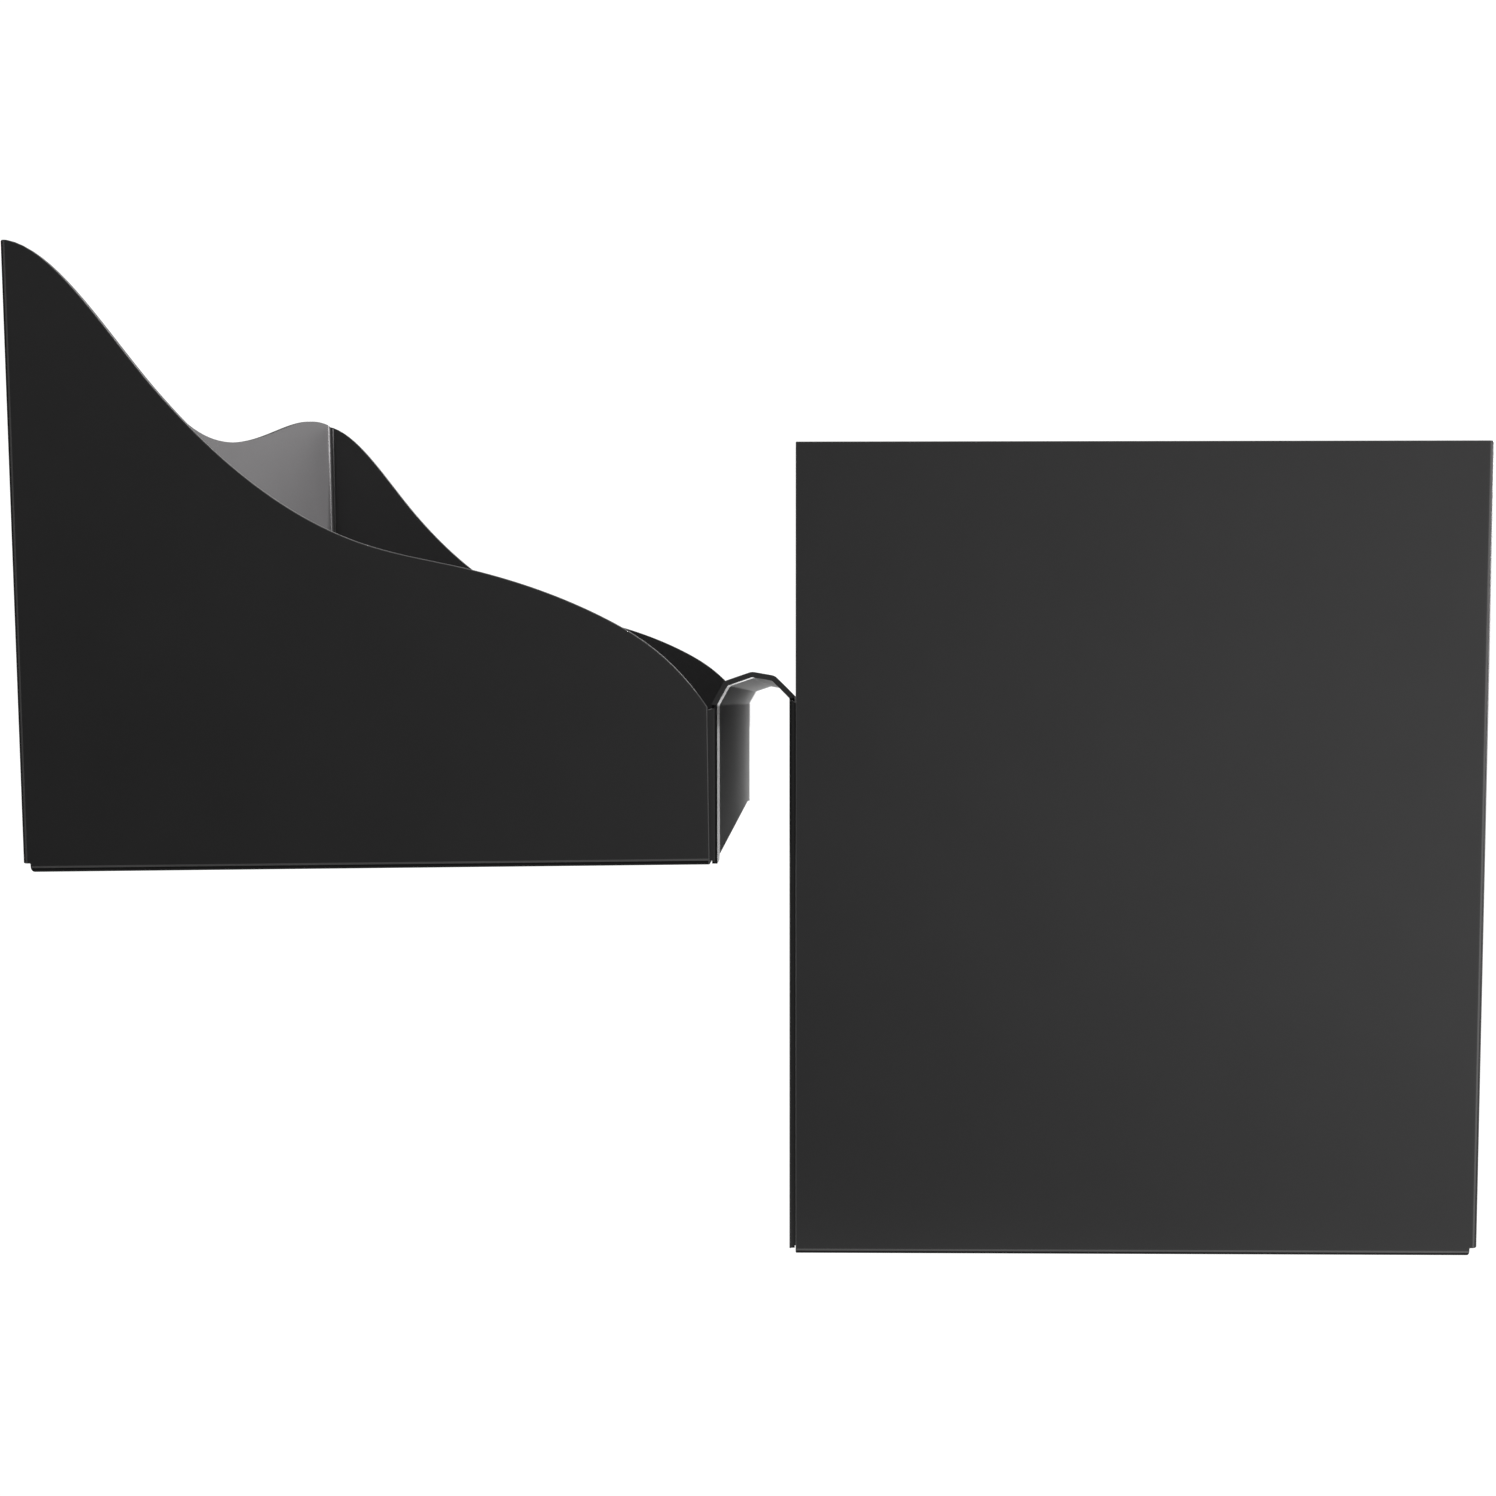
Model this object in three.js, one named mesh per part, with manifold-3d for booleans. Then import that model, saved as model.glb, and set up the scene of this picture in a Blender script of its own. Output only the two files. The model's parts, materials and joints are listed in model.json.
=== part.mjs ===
// Two-chamber sheet-steel sluice box.
// A tall header box fills with water, which spills over an arched weir into a shallow wash tray.
// The tray holds a ribbed mat and a riffle frame, kept down by four turn buttons.
// Units are millimetres. +Z is up, +X runs from the tray to the header box, +Y is away from
// the side that faces front. Lengths are laid out from the header's front wall (X = 0) and
// from its near face (Y = 0), and the whole part is centred over its base at the end.

import * as THREE from 'three';
import { mergeVertices } from 'three/addons/utils/BufferGeometryUtils.js';
import Module from 'manifold-3d';

const wasm = await Module();
wasm.setup();

// Driving dimensions
const SHEET = 2;                 // sheet thickness
const BEND = 2;                  // outer radius of every bend
const GAP = 0.3;                 // clearance between pieces that lie against each other
const DEPTH = 300;               // both boxes, near face to far face
const FLANGE = 16;               // width of the turned-in flanges
const FOOT_INSET = FLANGE + 1;   // side face to the feet of the end walls, clear of the flanges
const SKIRT_HEIGHT = 10;         // lower strip of an end wall that carries its foot
const WEB_ARM = 20;              // strip of a side panel that belongs to its bends
const HEADER_LENGTH = 253.4;
const HEADER_HEIGHT = 300;

const TRAY_LENGTH = 254.4;
const TRAY_TILT = 0.0122;        // the tray floor falls away from the weir
const TRAY_PIVOT_X = -31.3;      // lower corner of the tray, under the weir
const TRAY_PIVOT_Z = 145.65;
const TRAY_WEB_ARM = 8;          // strip of a tray side panel that belongs to its lower bend
const TRAY_FLOOR_LIFT = 2.6;     // underside of the floor sheet above the flanges
const TRAY_FLOOR_TOP = TRAY_FLOOR_LIFT + SHEET;
const TRAY_BACK_HEIGHT = 230.6;
const BACK_WALL_DIP = 37.6;      // how far the back wall's top sinks at mid depth

// Sweep of the tray's side panels: distance from the back wall, height and slope at each knot.
const SWEEP = [
  { at: 0, height: TRAY_BACK_HEIGHT, slope: 0 },
  { at: 55.8, height: 175.4, slope: -1.19 },
  { at: 129.5, height: 119.3, slope: -0.35 },
  { at: 173, height: 108.3, slope: -0.275 },
  { at: 216.7, height: 91.5, slope: -0.52 },
  { at: TRAY_LENGTH, height: 58.2, slope: -1.5 },
];

const WEIR_LEFT = -30.65;        // tray side of the tray's end wall
const WEIR_FOOT_Z = 145.8;       // lower end of the tray's end wall
const WEIR_LIP_WIDTH = 12;       // side flanges that tuck in behind the side panels
const WEIR_LIP_RELIEF = 6;       // from the ends of those flanges to the nearest fold
// Upper face of the weir's crest, folded in four flats: [X, Z] of each fold.
const WEIR_FOLDS = [[WEIR_LEFT, 205], [-26, 213.3], [-15.8, 216.8], [-7.3, 215.3], [0, 207.6]];
const WEIR_FOOT_LENGTH = 14;     // feet turned in under the two floors

const OUTLET_WIDTH = 190;
const OUTLET_HEIGHT = 40;
const OUTLET_CORNER = 8;         // cut across the outlet's two upper corners

const MAT_THICKNESS = 3;
const RIB_HEIGHT = 2;
const RIB_PITCH = 12;
const RIB_HALF_FOOT = 2;         // ribs taper from this half width
const RIB_HALF_TOP = 1;
const INSERT_SIDE_CLEAR = 20;    // tray side face to mat edge
const INSERT_END_CLEAR = 8;
const RAIL_THICKNESS = 3;
const RAIL_HEIGHT = 20;
const RAIL_NOSE = 6;             // cut across the upper corners of a rail
const RAIL_SHORTER = 4;          // at each end, than the mat
const RIFFLE_COUNT = 6;
const RIFFLE_PITCH = 38;
const RIFFLE_FIRST = 22;         // first riffle from the mat's lower end

const CLAMP_OFFSET = 12;         // clamp stud from the outer face of the side panel
const CLAMP_LEVEL = 28.6;        // underside of the bracket's shelf above the tray's base
const CLAMP_STATIONS = [48, 206];
const STUD_RADIUS = 2.5;
const STUD_HOLE_RADIUS = 2.8;
const BRACKET_HALF_WIDTH = 12;
const BRACKET_DROP = 14;         // how far the bracket's leg hangs below its shelf
const BRACKET_NOSE = 6;          // shelf beyond the stud's axis
const STUD_HEAD_RADIUS = 4.5;
const STUD_HEAD_HEIGHT = 2.5;
const STUD_LENGTH = 17;
const NUT_HUB_RADIUS = 4.8;
const NUT_HUB_HEIGHT = 6;
const NUT_WING_HALF_THICKNESS = 1;

const BAFFLE_X = 170;
const BAFFLE_HEIGHT = 262;
const BAFFLE_HOLE_RADIUS = 9;
const BAFFLE_LIP = 14;
const CHANNEL_WALL = 1.5;
const CHANNEL_DEPTH = 10;
const CHANNEL_CLEAR = 0.8;       // baffle to channel, on each side
const CHANNEL_SHORTER = 10;      // than the baffle
const BAFFLE_COLUMNS = 6;
const BAFFLE_ROWS = 5;
const BAFFLE_PITCH = 42;
const BAFFLE_FIRST_ROW = 36;     // lowest holes above the baffle's foot

// Finishes
const coatedSteel = { color: 0x2c2c2e, roughness: 0.45, metalness: 0.0 };
const plainSteel = { color: 0x9a9da0, roughness: 0.35, metalness: 1.0 };
const aluminium = { color: 0xb9bcbf, roughness: 0.4, metalness: 1.0 };
const rubber = { color: 0x1b1b1b, roughness: 0.85, metalness: 0.0 };

function solidOf(geometry) {
  const bare = geometry.index ? geometry.toNonIndexed() : geometry.clone();
  bare.deleteAttribute('normal');
  bare.deleteAttribute('uv');
  const merged = mergeVertices(bare, 1e-4);
  return new wasm.Manifold(new wasm.Mesh({
    numProp: 3,
    vertProperties: new Float32Array(merged.attributes.position.array),
    triVerts: new Uint32Array(merged.index.array),
  }));
}

function geometryOf(solid) {
  const mesh = solid.getMesh();
  const geometry = new THREE.BufferGeometry();
  geometry.setAttribute('position', new THREE.BufferAttribute(mesh.vertProperties, 3));
  geometry.setIndex(new THREE.BufferAttribute(mesh.triVerts, 1));
  return geometry;
}

function piece(name, solid, finish) {
  const mesh = new THREE.Mesh(geometryOf(solid), new THREE.MeshStandardMaterial(finish));
  mesh.name = name;
  return mesh;
}

function block(x0, x1, y0, y1, z0, z1) {
  const geometry = new THREE.BoxGeometry(x1 - x0, y1 - y0, z1 - z0);
  geometry.translate((x0 + x1) / 2, (y0 + y1) / 2, (z0 + z1) / 2);
  return solidOf(geometry);
}

// A vertical cylinder through (x, y) from z0 to z1.
function post(x, y, radius, z0, z1, sides = 16) {
  const geometry = new THREE.CylinderGeometry(radius, radius, z1 - z0, sides);
  geometry.rotateX(Math.PI / 2);
  geometry.translate(x, y, (z0 + z1) / 2);
  return solidOf(geometry);
}

// An outline drawn in X and Z, thick from y0 to y1.
function slabXZ(shape, y0, y1) {
  const geometry = new THREE.ExtrudeGeometry(shape, { depth: y1 - y0, bevelEnabled: false });
  geometry.rotateX(Math.PI / 2);
  geometry.translate(0, y1, 0);
  return solidOf(geometry);
}

// An outline drawn in Y and Z, thick from x0 to x1.
function slabYZ(shape, x0, x1) {
  const geometry = new THREE.ExtrudeGeometry(shape, { depth: x1 - x0, bevelEnabled: false });
  geometry.rotateX(Math.PI / 2);
  geometry.rotateZ(Math.PI / 2);
  geometry.translate(x0, 0, 0);
  return solidOf(geometry);
}

// An outline drawn in X and Y, thick from z0 to z1.
function slabXY(shape, z0, z1) {
  const geometry = new THREE.ExtrudeGeometry(shape, { depth: z1 - z0, bevelEnabled: false });
  geometry.translate(0, 0, z0);
  return solidOf(geometry);
}

function polygon(points) {
  return new THREE.Shape(points.map(([x, y]) => new THREE.Vector2(x, y)));
}

function mirroredInY(solid) {
  return solid.mirror([0, 1, 0]).translate([0, DEPTH, 0]);
}

// Section of a flange bent inwards: a web arm along +a and a flange arm along +b, as an outline
// whose outer corner lies at the origin.
function bentSection(webArm, flangeArm) {
  const shape = new THREE.Shape();
  shape.moveTo(webArm, 0);
  shape.lineTo(webArm, SHEET);
  shape.lineTo(SHEET, SHEET);
  shape.lineTo(SHEET, flangeArm);
  shape.lineTo(0, flangeArm);
  shape.lineTo(0, BEND);
  shape.absarc(BEND, BEND, BEND, Math.PI, 1.5 * Math.PI, false);
  shape.closePath();
  return shape;
}

// A flange along the bottom of a near side panel, from x0 to x1.
function bottomFlange(x0, x1, webArm) {
  const geometry = new THREE.ExtrudeGeometry(bentSection(webArm, FLANGE), {
    depth: x1 - x0,
    bevelEnabled: false,
    curveSegments: 4,
  });
  geometry.applyMatrix4(new THREE.Matrix4().set(
    0, 0, 1, x0,
    0, 1, 0, 0,
    1, 0, 0, 0,
    0, 0, 0, 1,
  ));
  flipWinding(geometry);
  return solidOf(geometry);
}

// Swaps the winding of an unindexed geometry after it has been mirrored.
function flipWinding(geometry) {
  const position = geometry.attributes.position;
  const first = new THREE.Vector3();
  const second = new THREE.Vector3();
  for (let i = 0; i < position.count; i += 3) {
    first.fromBufferAttribute(position, i + 1);
    second.fromBufferAttribute(position, i + 2);
    position.setXYZ(i + 1, second.x, second.y, second.z);
    position.setXYZ(i + 2, first.x, first.y, first.z);
  }
}

// An upright flange at the end of a near side panel, from z0 to z1. Its outer face is at x.
// side is +1 where the panel ends towards +X and -1 where it ends towards -X.
function endFlange(x, side, z0, z1, webArm) {
  const geometry = new THREE.ExtrudeGeometry(bentSection(webArm, FLANGE), {
    depth: z1 - z0,
    bevelEnabled: false,
    curveSegments: 4,
  });
  if (side > 0) {
    geometry.scale(-1, 1, 1);
    flipWinding(geometry);
  }
  geometry.translate(x, 0, z0);
  return solidOf(geometry);
}

// Header box

function headerSide() {
  const web = block(GAP, HEADER_LENGTH - BEND, 0, SHEET, BEND, HEADER_HEIGHT);
  const foot = bottomFlange(GAP, HEADER_LENGTH - BEND - GAP, WEB_ARM);
  const end = endFlange(HEADER_LENGTH, 1, BEND + GAP, HEADER_HEIGHT, WEB_ARM);
  return web.add(foot).add(end);
}

function headerBackWall() {
  const outer = HEADER_LENGTH - SHEET - GAP;
  const wall = block(outer - SHEET, outer, SHEET + GAP, DEPTH - SHEET - GAP, SHEET + GAP,
    HEADER_HEIGHT);
  const skirt = block(outer - SHEET, outer, FOOT_INSET, DEPTH - FOOT_INSET, 0, SKIRT_HEIGHT);
  const foot = block(outer - FLANGE, outer, FOOT_INSET, DEPTH - FOOT_INSET, 0, SHEET);
  return wall.add(skirt).add(foot);
}

function headerFloor() {
  const far = HEADER_LENGTH - 2 * SHEET - 2 * GAP;
  const side = 2 * (SHEET + GAP);
  return block(GAP, far, side, DEPTH - side, SHEET + GAP, 2 * SHEET + GAP);
}

// Weir: one sheet that is the tray's end wall, the arched crest and the header's front wall.

// The other face of a sheet whose one face runs through the points: each fold is mitred, and
// the sheet lies on the right hand of the direction of travel.
function offsetFace(points) {
  const right = points.slice(1).map(([x, z], i) => {
    const dx = x - points[i][0];
    const dz = z - points[i][1];
    const length = Math.hypot(dx, dz);
    return [dz / length, -dx / length];
  });
  return points.map(([x, z], i) => {
    const a = right[Math.max(i - 1, 0)];
    const b = right[Math.min(i, right.length - 1)];
    const reach = SHEET / (1 + a[0] * b[0] + a[1] * b[1]);
    return [x + (a[0] + b[0]) * reach, z + (a[1] + b[1]) * reach];
  });
}

function weirSaddle() {
  const upper = [[WEIR_LEFT, WEIR_FOOT_Z], ...WEIR_FOLDS, [0, 0]];
  const outline = polygon([...upper, ...offsetFace(upper).reverse()]);
  const near = SHEET + GAP;
  const far = DEPTH - near;
  const trayTop = WEIR_FOLDS[0][1] - WEIR_LIP_RELIEF;
  const headerTop = WEIR_FOLDS[WEIR_FOLDS.length - 1][1] - WEIR_LIP_RELIEF;
  const trayLip = WEIR_LEFT - WEIR_LIP_WIDTH;
  let sheet = slabXZ(outline, near, far);
  for (const y of [near, far - SHEET]) {
    sheet = sheet
      .add(block(trayLip, WEIR_LEFT + 1, y, y + SHEET, WEIR_FOOT_Z + WEIR_LIP_RELIEF, trayTop))
      .add(block(-1, WEIR_LIP_WIDTH, y, y + SHEET, WEIR_LIP_RELIEF, headerTop));
  }
  return sheet
    .add(block(-SHEET, WEIR_FOOT_LENGTH, FOOT_INSET, DEPTH - FOOT_INSET, 0, SHEET))
    .add(block(WEIR_LEFT - WEIR_FOOT_LENGTH, WEIR_LEFT + 1, FOOT_INSET, DEPTH - FOOT_INSET,
      WEIR_FOOT_Z, WEIR_FOOT_Z + SHEET - GAP));
}

// Tray, in its own frame: X runs from the back wall (-TRAY_LENGTH) to the weir (0), and Z is
// the height above the underside of its flanges.

function sweepOutline() {
  const shape = new THREE.Shape();
  shape.moveTo(-TRAY_LENGTH + BEND, 0);
  shape.lineTo(-TRAY_LENGTH, BEND);
  shape.lineTo(-TRAY_LENGTH, TRAY_BACK_HEIGHT);
  for (let i = 1; i < SWEEP.length; i++) {
    const from = SWEEP[i - 1];
    const to = SWEEP[i];
    const third = (to.at - from.at) / 3;
    shape.bezierCurveTo(
      from.at + third - TRAY_LENGTH, from.height + from.slope * third,
      to.at - third - TRAY_LENGTH, to.height - to.slope * third,
      to.at - TRAY_LENGTH, to.height,
    );
  }
  shape.lineTo(0, BEND);
  shape.lineTo(-BEND, 0);
  shape.closePath();
  return shape;
}

function sweepSlab(y0, y1) {
  const geometry = new THREE.ExtrudeGeometry(sweepOutline(), {
    depth: y1 - y0,
    bevelEnabled: false,
    curveSegments: 7,
  });
  geometry.rotateX(Math.PI / 2);
  geometry.translate(0, y1, 0);
  return solidOf(geometry);
}

// Everything above the back wall's dipped top edge, as a cutter.
function aboveBackWall() {
  const steps = 24;
  const over = TRAY_BACK_HEIGHT + BACK_WALL_DIP;
  const points = [[DEPTH + 1, over], [-1, over], [-1, TRAY_BACK_HEIGHT]];
  for (let i = 0; i <= steps; i++) {
    const turn = (2 * Math.PI * i) / steps;
    points.push([
      (DEPTH * i) / steps,
      TRAY_BACK_HEIGHT - (BACK_WALL_DIP * (1 - Math.cos(turn))) / 2,
    ]);
  }
  points.push([DEPTH + 1, TRAY_BACK_HEIGHT]);
  return slabYZ(polygon(points), -TRAY_LENGTH - 5, -TRAY_LENGTH + 10);
}

function traySide() {
  const web = sweepSlab(0, SHEET).subtract(
    block(-TRAY_LENGTH - 1, -TRAY_LENGTH + BEND, -1, SHEET + 1, -1, TRAY_BACK_HEIGHT + 1),
  ).subtract(block(-TRAY_LENGTH - 1, 1, -1, SHEET + 1, -1, BEND));
  const foot = bottomFlange(-TRAY_LENGTH + BEND + GAP, -BEND, TRAY_WEB_ARM);
  const back = endFlange(-TRAY_LENGTH, -1, BEND + GAP, TRAY_BACK_HEIGHT, BEND);
  const flange = back.subtract(aboveBackWall());
  return web.add(foot).add(flange);
}

function trayBackWall() {
  const outer = -TRAY_LENGTH + SHEET + GAP;
  const wall = block(outer, outer + SHEET, SHEET + GAP, DEPTH - SHEET - GAP, SHEET + GAP,
    TRAY_BACK_HEIGHT);
  const skirt = block(outer, outer + SHEET, FOOT_INSET, DEPTH - FOOT_INSET, 0, SKIRT_HEIGHT);
  const foot = block(outer, outer + FLANGE, FOOT_INSET, DEPTH - FOOT_INSET, 0, SHEET);
  return wall.subtract(aboveBackWall()).add(skirt).add(foot).subtract(outletCutter());
}

// The tailings outlet, a wide opening with cut corners just above the tray floor.
function outletCutter() {
  const y0 = (DEPTH - OUTLET_WIDTH) / 2;
  const y1 = y0 + OUTLET_WIDTH;
  const z0 = TRAY_FLOOR_TOP;
  const z1 = z0 + OUTLET_HEIGHT;
  const outline = polygon([
    [y0, z0], [y1, z0], [y1, z1 - OUTLET_CORNER], [y1 - OUTLET_CORNER, z1],
    [y0 + OUTLET_CORNER, z1], [y0, z1 - OUTLET_CORNER],
  ]);
  return slabYZ(outline, -TRAY_LENGTH - 5, -TRAY_LENGTH + 10);
}

function trayFloor() {
  const back = -TRAY_LENGTH + 2 * SHEET + 2 * GAP;
  const side = 2 * (SHEET + GAP);
  return block(back, -1.5, side, DEPTH - side, TRAY_FLOOR_LIFT, TRAY_FLOOR_TOP);
}

// Ribbed mat: ribs run across the flow.
function ribbedMat() {
  const x0 = -TRAY_LENGTH + INSERT_END_CLEAR;
  const length = TRAY_LENGTH - 2 * INSERT_END_CLEAR;
  const base = TRAY_FLOOR_TOP + GAP;
  const top = base + MAT_THICKNESS;
  const ribs = Math.floor(length / RIB_PITCH) - 1;
  const points = [[x0, base], [x0 + length, base], [x0 + length, top]];
  for (let i = ribs; i >= 1; i--) {
    const middle = x0 + i * RIB_PITCH;
    points.push([middle + RIB_HALF_FOOT, top], [middle + RIB_HALF_TOP, top + RIB_HEIGHT]);
    points.push([middle - RIB_HALF_TOP, top + RIB_HEIGHT], [middle - RIB_HALF_FOOT, top]);
  }
  points.push([x0, top]);
  return slabXZ(polygon(points), INSERT_SIDE_CLEAR, DEPTH - INSERT_SIDE_CLEAR);
}

const RAIL_BASE = TRAY_FLOOR_TOP + 2 * GAP + MAT_THICKNESS + RIB_HEIGHT;
const RAIL_Y = INSERT_SIDE_CLEAR + 2;

function riffleRail() {
  const x0 = -TRAY_LENGTH + INSERT_END_CLEAR + RAIL_SHORTER;
  const x1 = -INSERT_END_CLEAR - RAIL_SHORTER;
  const outline = polygon([
    [x0, RAIL_BASE], [x1, RAIL_BASE], [x1, RAIL_BASE + RAIL_HEIGHT - RAIL_NOSE],
    [x1 - RAIL_NOSE, RAIL_BASE + RAIL_HEIGHT], [x0 + RAIL_NOSE, RAIL_BASE + RAIL_HEIGHT],
    [x0, RAIL_BASE + RAIL_HEIGHT - RAIL_NOSE],
  ]);
  return slabXZ(outline, RAIL_Y, RAIL_Y + RAIL_THICKNESS);
}

// One riffle: a strip that leans towards the outlet, with a lip turned over at its top.
function riffle(number) {
  const x = -TRAY_LENGTH + INSERT_END_CLEAR + RIFFLE_FIRST + (number - 1) * RIFFLE_PITCH;
  const lean = 5;
  const height = 15;
  const lip = 8;
  const foot = RAIL_BASE + 1;
  const outline = polygon([
    [x, foot], [x + SHEET, foot], [x + SHEET - lean, foot + height],
    [x + SHEET - lean - lip, foot + height + 2], [x - lean - lip, foot + height],
    [x - lean, foot + height - 2],
  ]);
  const inner = RAIL_Y + RAIL_THICKNESS + GAP;
  return slabXZ(outline, inner, DEPTH - inner);
}

// Turn-button clamp on the near side panel, at a distance from the back wall.

function clampBracket(station) {
  const x = station - TRAY_LENGTH;
  const x0 = x - BRACKET_HALF_WIDTH;
  const x1 = x + BRACKET_HALF_WIDTH;
  const y0 = SHEET + GAP;
  const top = CLAMP_LEVEL + SHEET;
  const back = block(x0, x1, y0, y0 + SHEET, CLAMP_LEVEL - BRACKET_DROP, top);
  const shelf = block(x0, x1, y0, CLAMP_OFFSET + BRACKET_NOSE, CLAMP_LEVEL, top);
  const hole = post(x, CLAMP_OFFSET, STUD_HOLE_RADIUS, CLAMP_LEVEL - 1, CLAMP_LEVEL + 5);
  return back.add(shelf).subtract(hole);
}

function clampStud(station) {
  const x = station - TRAY_LENGTH;
  const seat = CLAMP_LEVEL - GAP;
  const head = post(x, CLAMP_OFFSET, STUD_HEAD_RADIUS, seat - STUD_HEAD_HEIGHT, seat);
  const shank = post(x, CLAMP_OFFSET, STUD_RADIUS, seat - 1, CLAMP_LEVEL + STUD_LENGTH);
  return head.add(shank);
}

const BUTTON_BASE = CLAMP_LEVEL + SHEET + GAP;
const BUTTON_THICKNESS = 3;

function turnButton(station) {
  const x = station - TRAY_LENGTH;
  const halfWidth = 5;
  const reach = 24;
  const shape = new THREE.Shape();
  shape.moveTo(x, CLAMP_OFFSET - halfWidth);
  shape.absarc(x, CLAMP_OFFSET, halfWidth, -Math.PI / 2, Math.PI / 2, false);
  shape.lineTo(x - reach, CLAMP_OFFSET + halfWidth);
  shape.absarc(x - reach, CLAMP_OFFSET, halfWidth, Math.PI / 2, 1.5 * Math.PI, false);
  shape.closePath();
  const bar = slabXY(shape, BUTTON_BASE, BUTTON_BASE + BUTTON_THICKNESS);
  return bar.subtract(
    post(x, CLAMP_OFFSET, STUD_HOLE_RADIUS, BUTTON_BASE - 1, BUTTON_BASE + BUTTON_THICKNESS + 1),
  );
}

function wingNut(station) {
  const x = station - TRAY_LENGTH;
  const base = BUTTON_BASE + BUTTON_THICKNESS + GAP;
  const hub = post(x, CLAMP_OFFSET, NUT_HUB_RADIUS, base, base + NUT_HUB_HEIGHT);
  const wing = polygon([
    [x - 3, base + 1], [x + 3, base + 1], [x + 12, base + 8], [x + 12, base + 13],
    [x + 8, base + 13], [x + 3, base + 6], [x - 3, base + 6], [x - 8, base + 13],
    [x - 12, base + 13], [x - 12, base + 8],
  ]);
  const wings = slabXZ(wing, CLAMP_OFFSET - NUT_WING_HALF_THICKNESS,
    CLAMP_OFFSET + NUT_WING_HALF_THICKNESS);
  return hub.add(wings).subtract(post(x, CLAMP_OFFSET, STUD_HOLE_RADIUS, base - 1, base + 14));
}

// Stilling baffle and its two guide channels, inside the header box.

const BAFFLE_INSET = SHEET + GAP + CHANNEL_WALL + 1.2;

function guideChannel() {
  const y0 = SHEET + GAP;
  const y1 = y0 + CHANNEL_DEPTH;
  const half = SHEET / 2 + CHANNEL_CLEAR;
  const z0 = 2 * SHEET + 2 * GAP;
  const z1 = z0 + BAFFLE_HEIGHT - CHANNEL_SHORTER;
  const body = block(BAFFLE_X - half - CHANNEL_WALL, BAFFLE_X + half + CHANNEL_WALL, y0, y1,
    z0, z1);
  return body.subtract(
    block(BAFFLE_X - half, BAFFLE_X + half, y0 + CHANNEL_WALL, y1 + 1, z0 - 1, z1 + 1),
  );
}

function stillingBaffle() {
  const y0 = BAFFLE_INSET;
  const y1 = DEPTH - BAFFLE_INSET;
  const z0 = 2 * SHEET + 2 * GAP;
  const z1 = z0 + BAFFLE_HEIGHT;
  const outline = polygon([[y0, z0], [y1, z0], [y1, z1], [y0, z1]]);
  for (let column = 0; column < BAFFLE_COLUMNS; column++) {
    for (let row = 0; row < BAFFLE_ROWS; row++) {
      const y = DEPTH / 2 + (column - (BAFFLE_COLUMNS - 1) / 2) * BAFFLE_PITCH;
      const z = z0 + BAFFLE_FIRST_ROW + row * BAFFLE_PITCH;
      const hole = new THREE.Path();
      hole.absarc(y, z, BAFFLE_HOLE_RADIUS, 0, 2 * Math.PI, true);
      outline.holes.push(hole);
    }
  }
  const geometry = new THREE.ExtrudeGeometry(outline, {
    depth: SHEET,
    bevelEnabled: false,
    curveSegments: 5,
  });
  geometry.rotateX(Math.PI / 2);
  geometry.rotateZ(Math.PI / 2);
  geometry.translate(BAFFLE_X - SHEET / 2, 0, 0);
  return solidOf(geometry);
}

// An angle along the baffle's top edge, to lift it by.
function baffleLip() {
  const x0 = BAFFLE_X + SHEET / 2 + GAP;
  const y0 = BAFFLE_INSET + 12;
  const top = 2 * SHEET + 2 * GAP + BAFFLE_HEIGHT;
  const shape = polygon([
    [x0, top - BAFFLE_LIP], [x0 + SHEET, top - BAFFLE_LIP], [x0 + SHEET, top - SHEET],
    [x0 + BAFFLE_LIP, top - SHEET], [x0 + BAFFLE_LIP, top], [x0, top],
  ]);
  return slabXZ(shape, y0, DEPTH - y0);
}

// Assembly

function pair(name, solid, finish) {
  return [
    piece(`${name}_near`, solid, finish),
    piece(`${name}_far`, mirroredInY(solid), finish),
  ];
}

function buildHeader() {
  const header = new THREE.Group();
  header.add(...pair('header_side', headerSide(), coatedSteel));
  header.add(piece('header_back_wall', headerBackWall(), coatedSteel));
  header.add(piece('header_floor', headerFloor(), coatedSteel));
  header.add(piece('weir_saddle', weirSaddle(), coatedSteel));
  header.add(...pair('baffle_channel', guideChannel(), coatedSteel));
  header.add(piece('stilling_baffle', stillingBaffle(), coatedSteel));
  header.add(piece('baffle_lip', baffleLip(), coatedSteel));
  return header;
}

function buildTray() {
  const tray = new THREE.Group();
  tray.add(...pair('tray_side', traySide(), coatedSteel));
  tray.add(piece('tray_back_wall', trayBackWall(), coatedSteel));
  tray.add(piece('tray_floor', trayFloor(), coatedSteel));
  tray.add(piece('ribbed_mat', ribbedMat(), rubber));
  tray.add(...pair('riffle_rail', riffleRail(), aluminium));
  for (let number = 1; number <= RIFFLE_COUNT; number++) {
    tray.add(piece(`riffle_${number}`, riffle(number), aluminium));
  }
  CLAMP_STATIONS.forEach((station, index) => {
    const end = index === 0 ? 'outlet' : 'weir';
    tray.add(...pair(`clamp_bracket_${end}`, clampBracket(station), coatedSteel));
    tray.add(...pair(`clamp_stud_${end}`, clampStud(station), plainSteel));
    tray.add(...pair(`turn_button_${end}`, turnButton(station), plainSteel));
    tray.add(...pair(`wing_nut_${end}`, wingNut(station), plainSteel));
  });
  tray.position.set(TRAY_PIVOT_X, 0, TRAY_PIVOT_Z);
  tray.rotation.y = -TRAY_TILT;
  return tray;
}

function backCornerX() {
  const cos = Math.cos(TRAY_TILT);
  const sin = Math.sin(TRAY_TILT);
  return TRAY_PIVOT_X - TRAY_LENGTH * cos - TRAY_BACK_HEIGHT * sin;
}

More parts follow.
